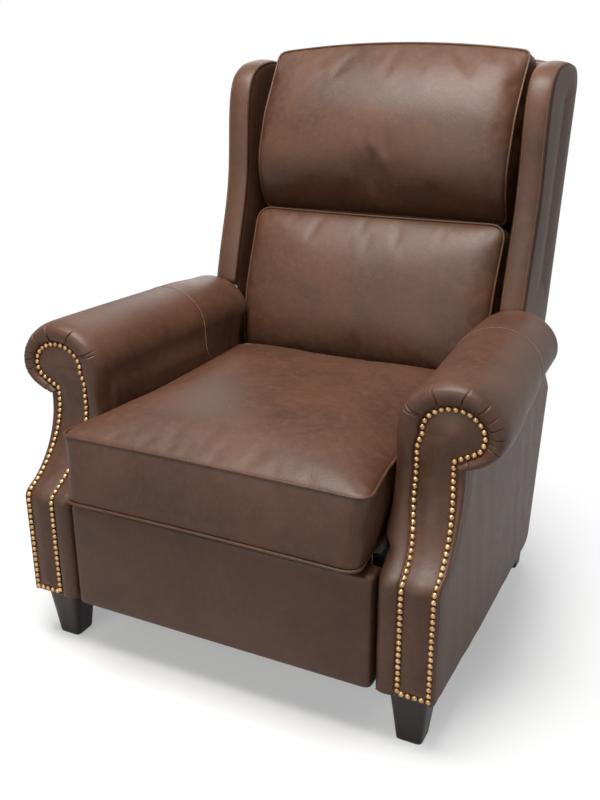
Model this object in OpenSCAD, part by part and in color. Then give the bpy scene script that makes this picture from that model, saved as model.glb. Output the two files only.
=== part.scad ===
// Wingback recliner on four tapered legs that opens when its back is pushed.
// Millimetres, +Z up. The sitter faces -Y. Every outline below is drawn with y = 0 at the arm knees,
// and to_origin() then centres the finished chair over the origin.

/* [Base and arms] */
// Width over the outside arm panels
base_w = 800; // [760:5:860]
// Width of each arm box at the knee
arm_w = 98; // [88:1:110]
// Depth from the knees to the lower rear corner of the arm panels
arm_d = 613; // [590:1:640]
// Height of the lower hem above the floor
hem_z = 107; // [100:1:114]
// Lean of the arm panels and of the outside back, in degrees
rear_lean = 12.3; // [10:0.1:14]
// How far the upper arm stands back behind the knee
arm_setback = 100; // [90:1:110]
// Radius of the cove that joins the knee to the upper arm
cove_r = 171; // [160:1:180]
// Height at which the cove turns upright
cove_top_z = 467; // [455:1:475]
// Radius that rounds the knee
knee_r = 12; // [6:1:18]
// Thickness of the nailed arm facing
facing_t = 12; // [8:1:16]
// Width of the facing below the knee
facing_w = 65; // [54:1:70]
// How much further in the facing reaches beside the upper arm
facing_step = 18; // [14:1:26]
// How much the outer edge of the facing draws in towards the neck
neck_in = 11; // [6:1:16]
// Height of the neck under the scroll
neck_z = 487; // [480:1:492]
// Thickness of an upholstered outside panel
panel_t = 6; // [4:0.5:8]

/* [Arm rolls] */
// Height of the centre line of the roll
roll_z = 527; // [520:1:534]
// Radius of the roll at the front
roll_r = 84; // [78:1:90]
// Radius of the roll at the rear
roll_rear_r = 80; // [74:1:86]
// Centre line of the roll at the front, in from the outside panel
roll_in = 21; // [15:1:27]
// Centre line of the roll at the rear, in from the outside panel
roll_rear_in = 48; // [40:1:54]
// Where the roll ends, behind the knees
roll_end_y = 604; // [590:1:612]
// Half the width of the nailed scroll in front of the roll
scroll_r = 56; // [50:1:62]
// Height of the scroll as a share of its width
scroll_flat_share = 0.83; // [0.8:0.01:0.9]
// How far the pleated border stands forward of the scroll
border_out = 12; // [6:1:16]
// Padding that widens the roll on the sitter's side
roll_fill = 10; // [4:1:14]
// Padding of the inside arm at the front
arm_pad_front = 21; // [17:1:25]
// Padding of the inside arm at the rear
arm_pad_rear = 37; // [34:1:40]

/* [Nails] */
// Diameter of a nail head
nail_d = 10.4; // [8:0.2:12]
// Height of a nail head
nail_h = 3.8; // [2.4:0.1:4.4]
// Distance from one nail to the next
nail_pitch = 11.4; // [11.2:0.1:14]
// Distance of the nails from the edge of the facing
nail_edge = 6; // [5.5:0.1:8]

/* [Legs] */
// Side of a leg at the top
leg_top_w = 72; // [56:1:78]
// Side of a leg at the floor
leg_foot_w = 46; // [34:1:50]
// Outer side of the front legs from the outside panel
leg_in = 10; // [8:1:16]
// Outer side of the rear legs from the outside panel
rear_leg_in = 18; // [16:1:22]
// How far the foot of a rear leg splays outwards and backwards
rear_leg_splay = 8; // [0:1:10]
// Front side of the front legs behind the knees
leg_front_y = 13; // [10:1:24]
// Rear side of the rear legs behind the knees
leg_rear_y = 701; // [690:1:710]
// Height of a glide
glide_h = 3; // [2:0.5:5]
// Diameter of a glide
glide_d = 24; // [18:1:30]

/* [Base frame] */
// Height of the base rails
rail_h = 40; // [30:1:44]
// Thickness of the cross rails
rail_t = 25; // [18:1:30]
// Front side of the front cross rail behind the knees
front_rail_y = 330; // [322:1:345]
// Front side of the rear cross rail behind the knees
rear_rail_y = 645; // [638:1:655]
// Thickness of the arm web
web_t = 18; // [12:1:22]
// Depth of the arm posts
post_d = 40; // [30:1:50]
// Thickness of the top board under the roll
top_board_t = 18; // [12:1:22]
// Thickness of the lower inside liner
liner_t = 6; // [4:0.5:8]

/* [Seat] */
// Top of the seat cushion at its front welt
seat_z = 453; // [448:1:460]
// Height of the seat cushion between its welts
seat_h = 119; // [112:1:124]
// Crown of the seat cushion above the welt
seat_crown = 34; // [20:1:40]
// Gap between the seat cushion and each inside arm at the front
seat_side_gap = 3; // [2:0.5:10]
// How far the lower welt of the cushion stands forward of the knees
seat_nose = 36; // [24:1:40]
// How far the upper front welt stands back behind the lower one
seat_rake = 18; // [8:1:24]
// Rear of the seat cushion behind the knees
seat_back_y = 588; // [570:1:592]
// Front of the seat frame behind the knees
seat_frame_y = 44; // [42:1:52]
// Rear of the seat frame behind the knees
seat_frame_end_y = 610; // [602:1:614]
// Height of the seat frame rails
seat_rail_h = 40; // [34:1:42]
// Thickness of the front and rear seat rails
seat_rail_t = 24; // [20:1:28]
// Thickness of the seat deck
deck_t = 3; // [2:0.5:3.5]

/* [Back] */
// Centre of the back hinge behind the knees
hinge_y = 667; // [660:1:672]
// Height of the back hinge
hinge_z = 314; // [310:1:318]
// Lower rear corner of the outside back behind the knees
back_y = 757; // [752:1:762]
// Height of the lower rear corner of the outside back
back_z = 276; // [272:1:282]
// Length of the outside back along its slope, at the sides
back_len = 790; // [770:1:810]
// Rise of the arched top at the middle
back_arch = 24; // [16:1:34]
// Thickness of the outside back panel
back_panel_t = 6; // [4:0.5:8]
// Width of a back post
back_post_w = 26; // [20:1:30]
// Depth of a back post
back_post_d = 44; // [36:1:50]
// How far the welts of the back pillows lie in from the wings
pillow_in = 27; // [23:1:35]
// Crown of the pillows in front of their welts
pillow_crown = 34; // [20:1:42]
// Where the two pillows meet, along the slope of the back
crease_s = 446; // [430:1:460]

/* [Wings] */
// How far the inside face of a wing stands out past the inside of the arm boxes
wing_out = 1; // [0:0.5:4]
// Thickness of a wing
wing_t = 51; // [42:1:58]
// Depth of a wing
wing_d = 184; // [170:1:194]
// Lower end of a wing at its rear edge, along the slope of the back
wing_low_s = 258; // [250:1:270]
// How much higher the front of its lower edge lies
wing_hem_rise = 30; // [20:1:40]

/* [Footrest] */
// Gap between the footrest panel and each arm
foot_gap = 8; // [7:1:16]
// Top of the footrest panel
foot_top_z = 314; // [308:1:318]
// Bottom of the footrest panel
foot_low_z = 102; // [96:1:107]
// How far the footrest panel stands forward of the knees
foot_out = 5; // [0:1:12]
// Thickness of its padding
foot_pad_t = 29; // [24:1:34]
// Thickness of its board
foot_board_t = 16; // [12:1:18]
// Crown of its padding
foot_crown = 4; // [2:1:8]

/* [Mechanism] */
// Thickness of a steel strip
strip_t = 3; // [2:0.1:3.4]
// Width of a link
strip_w = 20; // [16:1:22]
// Gap between neighbouring strips, which holds the rivet heads
layer_gap = 1.8; // [1.6:0.1:2]
// Diameter of a rivet
rivet_d = 9; // [7:0.5:10]
// Diameter of a rivet head
rivet_head_d = 15; // [12:0.5:16]
// Radial running clearance of a rivet in its hole
rivet_play = 0.05; // [0.02:0.01:0.1]
// Length of the swing links that carry the seat
swing_len = 105; // [100:1:110]
// Backward lean of the swing links at rest, in degrees
swing_lean = 20; // [16:0.5:24]
// Turn of the swing links, and of the back, from upright to fully open, in degrees
recline_turn = 32; // [28:0.5:34]
// Front base pivot behind the knees
swing_y = 190; // [180:1:200]
// Distance from the front to the rear base pivot
swing_base = 330; // [310:1:340]
// Height of the base pivots
swing_z = 165; // [160:1:170]
// Height of the lower pivot of the back ear under the hinge
ear_drop = 30; // [26:1:34]
// Length from the ear pivot down to the chord of the control link
control_drop = 160; // [150:1:165]
// Front pivot of the footrest links behind the knees
foot_link_y = 120; // [116:1:126]
// Height of that pivot
foot_link_z = 262; // [258:1:266]
// Length of the front footrest link to its crossing
foot_link_len = 147; // [138:1:150]
// Length of the front footrest link past its crossing
foot_link_tail = 50; // [44:1:52]
// Direction of the footrest links at rest, in degrees below the forward horizontal
foot_link_dir = 131.4; // [128:0.2:133]
// Spacing of the two footrest links along the chair
link_pair_y = 60; // [56:1:66]
// Spacing of the two footrest links in height
link_pair_z = 10; // [6:1:14]
// Upper pivot of the footrest bracket behind the knees
bracket_y = 50; // [49:1:54]
// Height of that pivot
bracket_z = 290; // [284:1:292]
// Extra radius of the hole at the open pivot of the control link
open_slack = 2.2; // [1.8:0.1:2.6]

/* [Springs] */
// Diameter of a spring wire
wire_d = 4; // [3:0.5:5]
// Width of a zigzag spring
spring_w = 46; // [36:1:54]
// Number of springs across the seat
seat_spring_count = 4; // [3:1:5]
// Number of springs up the back
back_spring_count = 4; // [3:1:5]

/* [Hidden] */

// Fits and small gaps
seat_gap = 0.3;
overrun = 1;
tiny = 0.01;
head_clear = 0.2;
hole_r = rivet_d / 2 + rivet_play;
end_r = strip_w / 2;

// Widths
arm_out = base_w / 2;
arm_in = arm_out - arm_w;
arm_face_front = arm_in - arm_pad_front;
arm_face_rear = arm_in - arm_pad_rear;
wing_face = arm_in + wing_out;
pillow_half_w = wing_face - pillow_in;
foot_half_w = arm_in - foot_gap;
rail_in = arm_in + liner_t;
rail_out = arm_out - rear_leg_in;
layer_pitch = strip_t + layer_gap;

// The rearmost point of the arched back and the foremost point of the cushion, midway between which
// the origin lies
module to_origin() translate([0, -origin_y, 0]) children();

// Inner face of a strip layer: -2 is the base plate and 2 lies nearest the seat frame
function layer_x(k) = arm_in - strip_t - (k + 2) * layer_pitch;

// Extrude an outline drawn in the (y, z) plane from x0 over a thickness t
module yz(x0, t) translate([x0, 0, 0]) rotate([90, 0, 90]) linear_extrude(t) children();
// Extrude an outline drawn in the (x, z) plane from y0 over a thickness t
module xz(y0, t) translate([0, y0 + t, 0]) rotate([90, 0, 0]) linear_extrude(t) children();
module both() {
    children();
    mirror([1, 0, 0]) children();
}
module box(x0, x1, y0, y1, z0, z1) translate([x0, y0, z0]) cube([x1 - x0, y1 - y0, z1 - z0]);

function arc(c, r, a0, a1, n) = [for (i = [0:n]) let (a = a0 + (a1 - a0) * i / n) c + r * [cos(a), sin(a)]];
function bend(p, q, s, n) = [for (i = [0:n]) let (t = i / n) (1 - t) * (1 - t) * p + 2 * t * (1 - t) * q + t * t * s];
function mix(a, b, t) = a + (b - a) * t;
function ease(t) = let (u = min(max(t, 0), 1)) u * u * (3 - 2 * u);
function mean(v) = [for (k = [0:2]) let (s = [for (p = v) p[k]]) sum(s) / len(v)];
function sum(v, i = 0) = i < len(v) ? v[i] + sum(v, i + 1) : 0;

// A closed skin over a stack of rings, each a list of 3-D points turning left seen from the last ring
module skin(rings) {
    n = len(rings[0]);
    m = len(rings);
    points = concat([for (r = rings) each r], [mean(rings[0]), mean(rings[m - 1])]);
    sides = [
        for (i = [0:m - 2])
        for (j = [0:n - 1])
        let (a = i * n + j, b = i * n + (j + 1) % n)
        each [[a, b + n, b], [a, a + n, b + n]]
    ];
    first = [for (j = [0:n - 1]) [m * n, j, (j + 1) % n]];
    last = [for (j = [0:n - 1]) [m * n + 1, (m - 1) * n + (j + 1) % n, (m - 1) * n + j]];
    polyhedron(points, concat(first, sides, last));
}

// Front surface of the arm: upright below the knee, the cove, upright again beside the roll.
// The cove's centre lies in front of the arm, so a layer set back by s has the radius cove_r + s.
cove_c = [arm_setback - cove_r, cove_top_z];
function knee_z(s) = cove_top_z - sqrt(pow(cove_r + s, 2) - pow(s - cove_c[0], 2));
function knee_angle(s) = -acos((s - cove_c[0]) / (cove_r + s));
function arm_front(s, top) =
    let (k = [s, knee_z(s)], a = knee_angle(s) + 5)
    concat(
        [[s, hem_z]],
        bend([s, k[1] - knee_r], k, cove_c + (cove_r + s) * [cos(a), sin(a)], 5),
        arc(cove_c, cove_r + s, a + 4, 0, 14),
        [[arm_setback + s, top]]
    );
front_points = [for (p = arm_front(0, roll_z + roll_r)) [p[1], p[0]]];
function front_y(z) = lookup(z, front_points);
function front_slope(z) = atan2(front_y(z + overrun) - front_y(z - overrun), 2 * overrun);

// Rear edge of the arm panels, which leans back with the outside back
function arm_rear(z) = arm_d + (z - hem_z) * tan(rear_lean);
arm_rear_top_z = neck_z - (neck_z - hem_z) / 6;

/* Arm facing and its nails */

// Outline of the facing in (x, z), grown outwards from the line of nails by g
scroll_c = [arm_out - roll_in, roll_z + (roll_r - scroll_r) / 7];
edge_out_x = arm_out - nail_edge;
edge_in_x = edge_out_x + 2 * nail_edge - facing_w;
nail_r = scroll_r - nail_edge;
function edge_x(z) = edge_out_x - neck_in * ease((z - knee_z(0)) / (neck_z - knee_z(0)));
function inner_x(z) = edge_in_x - facing_step * ease((z - knee_z(0)) / (neck_z - knee_z(0)) * 1.5);
function column(g, f, side, z0, z1, n) = [for (i = [0:n]) let (z = mix(z0, z1, i / n)) [f(z) + side * g, z]];
function scroll_point(g, a) = scroll_c + [(nail_r + g) * cos(a), (scroll_flat_share * nail_r + g) * sin(a)];
function facing_path(g) =
    concat(
        column(g, function(z) edge_x(z), 1, hem_z + nail_edge - g, neck_z - g, 12),
        [for (i = [0:26]) scroll_point(g, mix(-35, 190, i / 26))],
        column(g, function(z) inner_x(z), -1, roll_z - 3 * scroll_r / 8, hem_z + nail_edge - g, 14)
    );

module facing() {
    intersection() {
        yz(arm_in, arm_w + roll_r)
            polygon(concat(
                arm_front(0, roll_z + roll_r),
                [for (i = [len(arm_front(0, 0)) - 1:-1:0]) arm_front(facing_t, roll_z + roll_r)[i]]
            ));
        xz(-overrun, arm_setback + facing_t + 2 * overrun) polygon(facing_path(nail_edge));
    }
}
module arm_facing_right() color("#3c2a24") facing();
module arm_facing_left() color("#3c2a24") mirror([1, 0, 0]) facing();

// Nails at even steps along the path, measured over the curved front
nail_line = let (
        p = facing_path(0),
        q = concat(p, [p[0]])
    ) [
        for (i = [0:len(p) - 1])
        for (k = [0:3])
        let (v = mix(q[i], q[i + 1], k / 4)) [v[0], front_y(v[1]), v[1]]
    ];
nail_dist = [for (i = 0, s = 0; i < len(nail_line); s = s + norm(nail_line[(i + 1) % len(nail_line)] - nail_line[i]), i = i + 1) s];
nail_total = nail_dist[len(nail_dist) - 1];
nail_count = floor(nail_total / nail_pitch);
function along(k, s) = lookup(s, [for (i = [0:len(nail_line) - 1]) [nail_dist[i], nail_line[i][k]]]);
dome_r = (nail_d * nail_d / 4 + nail_h * nail_h) / (2 * nail_h);
module nail() {
    difference() {
        translate([0, 0, nail_h - dome_r]) sphere(dome_r, $fn = 20);
        translate([-nail_d, -nail_d, -2 * dome_r]) cube([2 * nail_d, 2 * nail_d, 2 * dome_r]);
    }
}
module nails() {
    for (i = [0:nail_count - 1]) {
        s = nail_total * i / nail_count;
        z = along(2, s);
        translate([along(0, s), front_y(z), z])
            rotate([90 - front_slope(z), 0, 0])
                translate([0, 0, seat_gap]) nail();
    }
}
module nail_heads_right() color("#8d7443") nails();
module nail_heads_left() color("#8d7443") mirror([1, 0, 0]) nails();

/* Arm rolls */

// The section starts at the lip that hangs over the outside panel, goes round the top to the sitter's
// side and closes along the top board
roll_steps = 26;
roll_under = neck_z - roll_z - (roll_r - scroll_r) / 2;
function roll_at(y) =
    let (t = ease((y - arm_setback) / (roll_end_y - arm_setback)))
    [mix(arm_out - roll_in, arm_out - roll_rear_in, t), mix(roll_r, roll_rear_r, t)];
function roll_section(c, r) =
    let (lip = arm_out + 4 * seat_gap - c)
    concat(
        [
            for (i = [0:roll_steps])
            let (a = mix(-acos(lip / r), 180, i / roll_steps))
            [(a > 90 ? r + roll_fill : r) * cos(a), (a < 0 ? -roll_under : r) * sin(a)]
        ],
        [
            [-r - roll_fill, (neck_z - roll_z) / 2],
            [-r - roll_fill + panel_t / 2, neck_z - roll_z],
            [-r / 2, neck_z - roll_z],
            [0, neck_z - roll_z],
            [arm_out - panel_t - c, neck_z - roll_z],
            [lip - seat_gap, neck_z - roll_z]
        ]
    );
// [share of the section, share of the border's depth in front of the scroll]
roll_front_shares = [[0.3, 0], [0.56, 0], [0.58, 0.55], [0.7, 0.95], [0.84, 1], [0.93, 0.75], [0.985, 0.2]];
roll_rear_shares = [[0.995, 0.3], [0.96, 0.62], [0.88, 0.85], [0.7, 1], [0.3, 1]];
roll_face_y = arm_setback + facing_t + seat_gap;
border_depth = facing_t * 0.8 + border_out;
roll_rear_round = roll_rear_r / 3;
roll_mid_y = [for (i = [0:5]) mix(roll_face_y + border_out, roll_end_y - roll_rear_round, i / 5)];
function roll_ring(y, share, lift) =
    let (c = roll_at(y), s = roll_section(c[0], c[1]))
    [
        for (i = [0:len(s) - 1])
        let (x = c[0] + share * s[i][0], floor_z = x < arm_out + seat_gap ? neck_z : 0)
        [x, y - (i <= roll_steps ? lift : 0), max(roll_z + share * s[i][1], floor_z) + seat_gap]
    ];
module roll() difference() {
    skin(concat(
        [for (f = roll_front_shares) roll_ring(roll_face_y, f[0], f[1] * border_depth)],
        [for (y = roll_mid_y) roll_ring(y, 1, 0)],
        [for (f = roll_rear_shares) roll_ring(roll_end_y - roll_rear_round * (1 - f[1]), f[0], 0)]
    ));
    xz(-overrun, roll_face_y + overrun + seat_gap) polygon(facing_path(nail_edge + seat_gap));
}
module arm_roll_right() color("#4a342c") roll();
module arm_roll_left() color("#4a342c") mirror([1, 0, 0]) roll();

/* Arm boxes */

module arm_outline(s, z0, z1) {
    intersection() {
        polygon(concat(
            arm_front(s, z1),
            [
                [arm_rear(arm_rear_top_z) - (z1 - arm_rear_top_z) - s, z1],
                [arm_rear(arm_rear_top_z) - s, arm_rear_top_z],
                [arm_rear(hem_z) - s, hem_z]
            ]
        ));
        translate([0, z0]) square([arm_d * 2, z1 - z0]);
    }
}
module outside_arm() yz(arm_out - panel_t, panel_t) arm_outline(facing_t + seat_gap, hem_z, neck_z);
module outside_arm_right() color("#46312a") outside_arm();
module outside_arm_left() color("#46312a") mirror([1, 0, 0]) outside_arm();

// The liner below, the padded inside face above the level of the seat, and the part of the cover that
// turns round the front edge as far as the facing
wrap_back = 3;
module front_wrap() {
    difference() {
        yz(arm_in, facing_w)
            polygon(concat(
                arm_front(wrap_back, neck_z),
                [for (i = [len(arm_front(0, 0)) - 1:-1:0]) arm_front(facing_t + seat_gap + tiny, neck_z)[i]]
            ));
        xz(-overrun, arm_setback + facing_t + 3 * overrun) polygon(facing_path(nail_edge + seat_gap));
    }
}
pad_z = seat_z - seat_h + swing_len * (1 - cos(swing_lean)) + layer_gap;
pad_end_y = seat_back_y + 4 * seat_gap;
module inside_arm() difference() {
    union() {
        front_wrap();
        yz(arm_in, liner_t) arm_outline(facing_t + seat_gap, hem_z, neck_z);
        difference() {
            translate([0, 0, pad_z])
                linear_extrude(neck_z - pad_z)
                    polygon([
                        [arm_in + overrun, arm_setback + facing_t + seat_gap],
                        [arm_face_front, arm_setback + facing_t + seat_gap],
                        [arm_face_rear, mix(arm_setback, pad_end_y, 2 / 3)],
                        [arm_face_rear, pad_end_y],
                        [arm_in + overrun, pad_end_y]
                    ]);
            yz(0, arm_in) difference() {
                square([arm_d, neck_z + overrun]);
                arm_outline(facing_t + seat_gap, hem_z, neck_z + 2 * overrun);
            }
        }
    }
    screw_holes(screw_len);
}
module inside_arm_right() color("#46312a") inside_arm();
module inside_arm_left() color("#46312a") mirror([1, 0, 0]) inside_arm();

// Wooden structure inside an arm box
web_x = (rail_in + rail_out - web_t) / 2;
post_y = facing_t + 2 * seat_gap;
module arm_webs() color("#c9a66b") both()
    yz(web_x, web_t) arm_outline(post_y + post_d + seat_gap, hem_z + rail_h + seat_gap, neck_z - top_board_t - 2 * seat_gap);
// A post along the front or rear edge of the web: the half of its outline that starts at y
module arm_post(y) yz(rail_in + seat_gap, arm_out - panel_t - rail_in - 2 * seat_gap) intersection() {
    difference() {
        arm_outline(post_y, hem_z + rail_h + seat_gap, neck_z - top_board_t - 2 * seat_gap);
        arm_outline(post_y + post_d, hem_z, neck_z);
    }
    translate([y, 0]) square([arm_d / 2, neck_z]);
}
module arm_front_posts() color("#c9a66b") both() arm_post(0);
module arm_rear_posts() color("#c9a66b") both() arm_post(arm_d / 2 + leg_top_w);
module arm_top_boards() color("#c9a66b") both()
    box(rail_in + seat_gap, arm_out - panel_t - seat_gap, arm_setback + post_y, arm_d - post_y,
        neck_z - top_board_t - seat_gap, neck_z - seat_gap);

/* Base frame and legs */

rail_end_y = leg_rear_y;
module base_side_rails() color("#b8935a") difference() {
    both() box(rail_in + seat_gap, rail_out, facing_t + 2 * seat_gap, rail_end_y, hem_z, hem_z + rail_h);
    screw_holes(screw_len);
}
cross_rail_x = layer_x(-2) - seat_gap;
module base_front_rail() color("#b8935a")
    box(-cross_rail_x, cross_rail_x, front_rail_y, front_rail_y + rail_t, hem_z, hem_z + rail_h);
module base_rear_rail() color("#b8935a")
    box(-rail_in, rail_in, rear_rail_y, rear_rail_y + rail_t, hem_z, hem_z + rail_h);

function square_ring(cx, cy, w, z) =
    [for (c = [[1, 1], [-1, 1], [-1, -1], [1, -1]]) [cx + c[0] * w / 2, cy + c[1] * w / 2, z]];
front_leg_x = arm_out - leg_in - leg_top_w / 2;
rear_leg_x = arm_out - rear_leg_in - leg_top_w / 2;
module leg(x, y, splay)
    skin([square_ring(x + splay, y + splay, leg_foot_w, glide_h), square_ring(x, y, leg_top_w, hem_z)]);
front_leg_y = leg_front_y + leg_top_w / 2;
rear_leg_y = leg_rear_y - leg_top_w / 2;
module front_legs() color("#2b1a14") both() leg(front_leg_x, front_leg_y, 0);
module rear_legs() color("#2b1a14") both() leg(rear_leg_x, rear_leg_y, rear_leg_splay);
module leg_glides() color("#222222") both()
    for (c = [[front_leg_x, front_leg_y], [rear_leg_x + rear_leg_splay, rear_leg_y + rear_leg_splay]])
        translate([c[0], c[1], 0]) cylinder(h = glide_h, d = glide_d, $fn = 48);

/* Steel strips and rivets */

// A flat link through the (y, z) points p, with a hole of radius r[i] at each point and a shank that is
// a little narrower than its round ends
shank_in = 0.3;
module link(k, p, r) {
    yz(layer_x(k), strip_t) difference() {
        union() {
            for (q = p) translate(q) circle(end_r, $fn = 48);
            for (i = [0:len(p) - 2]) {
                d = p[i + 1] - p[i];
                translate(p[i]) rotate(atan2(d[1], d[0])) translate([0, shank_in - end_r])
                    square([norm(d), strip_w - 2 * shank_in]);
            }
        }
        for (i = [0:len(p) - 1]) translate(p[i]) circle(r[i], $fn = 48);
    }
}
// A rivet at the (y, z) point p from layer a to layer b, with a head at each end and a washer in each gap
head_t = layer_gap - 3 * head_clear;
module rivet(p, a, b) {
    x0 = layer_x(b);
    x1 = layer_x(a) + strip_t;
    outer = a == -2 ? x1 - tiny : x1 + head_clear + head_t;
    translate([x0 - head_clear - head_t, p[0], p[1]]) rotate([0, 90, 0]) {
        cylinder(h = outer - x0 + head_clear + head_t, d = rivet_d, $fn = 48);
        cylinder(h = head_t, d = rivet_head_d, $fn = 48);
        if (a != -2) translate([0, 0, x1 - x0 + 2 * head_clear + head_t]) cylinder(h = head_t, d = rivet_head_d, $fn = 48);
    }
    for (k = [a:b - 1])
        translate([layer_x(k) - layer_gap + head_clear, p[0], p[1]]) rotate([0, 90, 0])
            cylinder(h = layer_gap - 2 * head_clear, d = rivet_head_d, $fn = 48);
}

/* Linkage geometry, in (y, z) */

function tilt(v, a) = [v[0] * cos(a) + v[1] * sin(a), v[1] * cos(a) - v[0] * sin(a)];
swing_base_front = [swing_y, swing_z];
swing_base_rear = [swing_y + swing_base, swing_z];
swing_rest = swing_len * [sin(swing_lean), cos(swing_lean)];
swing_open = tilt(swing_rest, -recline_turn);
seat_travel = swing_open - swing_rest;
seat_pivot_front = swing_base_front + swing_rest;
seat_pivot_rear = swing_base_rear + swing_rest;
hinge = [hinge_y, hinge_z];
ear = hinge - [0, ear_drop];
ear_open = hinge + seat_travel + tilt([0, -ear_drop], recline_turn);
ear_chord = (ear_open - ear) / norm(ear_open - ear);
control_base = (ear + ear_open) / 2 + control_drop * [-ear_chord[1], ear_chord[0]];
foot_dir = [-cos(foot_link_dir), -sin(foot_link_dir)];
foot_pivot = [foot_link_y, foot_link_z];
foot_cross = foot_pivot + foot_link_len * foot_dir;
foot_end = foot_pivot + (foot_link_len + foot_link_tail) * foot_dir;
pair = [link_pair_y, -link_pair_z];
bracket_top = [bracket_y, bracket_z];
bracket_low = bracket_top + foot_link_tail * foot_dir;

module front_swing_links() color("#6d6f72") both()
    link(-1, [swing_base_front, seat_pivot_front], [hole_r, hole_r]);
module rear_swing_links() color("#6d6f72") both()
    link(-1, [swing_base_rear, seat_pivot_rear], [hole_r, hole_r]);
module back_control_links() color("#6d6f72") both()
    link(0, [control_base, ear], [hole_r, rivet_d / 2 + open_slack]);
module footrest_front_links() color("#6d6f72") both()
    link(1, [foot_pivot, foot_cross, foot_end], [hole_r, hole_r, hole_r]);
module footrest_rear_links() color("#6d6f72") both()
    link(1, [foot_pivot + pair, foot_cross + pair], [hole_r, hole_r]);
module footrest_lower_links() color("#6d6f72") both()
    link(2, [foot_cross + pair, foot_cross, bracket_top], [hole_r, hole_r, hole_r]);
module footrest_upper_links() color("#6d6f72") both()
    link(0, [foot_end, bracket_low], [hole_r, hole_r]);

module base_pivot_rivets() color("#8a8c8f") both() {
    rivet(swing_base_front, -2, -1);
    rivet(swing_base_rear, -2, -1);
    rivet(control_base, -2, 0);
}
module seat_pivot_rivets() color("#8a8c8f") both() {
    rivet(seat_pivot_front, -1, 0);
    rivet(seat_pivot_rear, -1, 0);
    rivet(foot_pivot, 0, 1);
    rivet(foot_pivot + pair, 0, 1);
}
module footrest_link_rivets() color("#8a8c8f") both() {
    rivet(foot_cross, 1, 2);
    rivet(foot_end, 0, 1);
}
module footrest_lower_rivets() color("#8a8c8f") both() rivet(foot_cross + pair, 1, 2);
module footrest_bracket_rivets() color("#8a8c8f") both() {
    rivet(bracket_top, 1, 2);
    rivet(bracket_low, 0, 1);
}
module back_pivot_rivets() color("#8a8c8f") both() {
    rivet(hinge, 0, 1);
    rivet(ear, 0, 1);
}

// Base plate: a steel strip on the liner, with a lug over each pivot
plate_low_z = hem_z + 2 * seat_gap;
plate_top_z = hem_z + rail_h;
screw_shares = [0.15, 0.6, 0.85];
screw_y = [for (f = screw_shares) swing_y + swing_base * f];
screw_z = hem_z + rail_h / 2;
screw_d = 5;
screw_head_d = 11;
screw_len = 24;
module plate_lug(p) {
    translate([p[0] - strip_w, plate_low_z]) square([2 * strip_w, p[1] - plate_low_z]);
    translate(p) circle(strip_w, $fn = 48);
}
module mechanism_base_plates() color("#6d6f72") difference() {
    both() yz(layer_x(-2), strip_t) difference() {
        union() {
            translate([swing_y - strip_w, plate_low_z])
                square([control_base[0] - swing_y + 2 * strip_w, plate_top_z - plate_low_z]);
            for (p = [swing_base_front, swing_base_rear, control_base]) plate_lug(p);
        }
        for (p = [swing_base_front, swing_base_rear, control_base]) translate(p) circle(hole_r, $fn = 48);
    }
    screw_holes(0);
}
module screw_holes(depth) both() for (y = screw_y)
    translate([layer_x(-2) - overrun, y, screw_z]) rotate([0, 90, 0])
        cylinder(h = strip_t + liner_t + depth + 2 * overrun, d = screw_d + 4 * rivet_play, $fn = 32);
module base_plate_screws() color("#8a8c8f") both() for (y = screw_y)
    translate([layer_x(-2) - seat_gap, y, screw_z]) rotate([0, 90, 0]) {
        cylinder(h = strip_t + liner_t + screw_len, d = screw_d, $fn = 32);
        translate([0, 0, -layer_gap]) cylinder(h = layer_gap, d = screw_head_d, $fn = 32);
    }

// Seat plate: an angle whose flange carries the seat rail and whose rear end rises to the back hinge
seat_rail_z = seat_z - seat_h - deck_t - seat_rail_h - 2 * seat_gap;
flange_z = seat_rail_z - strip_t - seat_gap;
seat_plate_low_z = seat_pivot_front[1] - end_r - strip_t;
module seat_side_plates() color("#6d6f72") both() {
    yz(layer_x(0), strip_t) difference() {
        union() {
            polygon([
                foot_pivot + [0, end_r + strip_t],
                foot_pivot - [0, end_r],
                foot_pivot + pair - [0, end_r + strip_t],
                [seat_pivot_front[0] - strip_w, seat_plate_low_z],
                [seat_pivot_rear[0] + strip_w, seat_plate_low_z],
                [seat_frame_end_y, hinge_z - 1.5 * ear_drop],
                hinge + [-1.4 * strip_w, -end_r],
                hinge + [0, -end_r],
                hinge + [0, end_r],
                [seat_frame_end_y + strip_t, flange_z + strip_t],
                [foot_link_y, flange_z + strip_t]
            ]);
            for (p = [foot_pivot, foot_pivot + pair]) translate(p) circle(end_r + strip_t, $fn = 48);
            translate(hinge) circle(end_r, $fn = 48);
        }
        for (p = [seat_pivot_front, seat_pivot_rear, foot_pivot, foot_pivot + pair, hinge])
            translate(p) circle(hole_r, $fn = 48);
    }
    box(layer_x(0) - seat_rail_t, layer_x(0) + tiny, foot_link_y, seat_frame_end_y, flange_z, flange_z + strip_t);
}

/* Seat */

seat_rail_x = layer_x(0) - seat_rail_t;
side_rail_y = bracket_y + strip_w;
module seat_side_rails() color("#c9a66b") both()
    box(seat_rail_x, layer_x(0) + strip_t, side_rail_y, seat_frame_end_y, seat_rail_z, seat_rail_z + seat_rail_h);
module seat_cross_rail(y) box(-seat_rail_x + seat_gap, seat_rail_x - seat_gap, y, y + seat_rail_t, seat_rail_z, seat_rail_z + seat_rail_h);
module seat_front_rail() color("#c9a66b") seat_cross_rail(seat_frame_y);
module seat_rear_rail() color("#c9a66b") seat_cross_rail(seat_frame_end_y - seat_rail_t);
deck_z = seat_rail_z + seat_rail_h + seat_gap;
module seat_deck() color("#2a2523")
    box(-seat_rail_x - seat_rail_t, seat_rail_x + seat_rail_t, seat_frame_y, seat_frame_end_y, deck_z, deck_z + deck_t - seat_gap);

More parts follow.
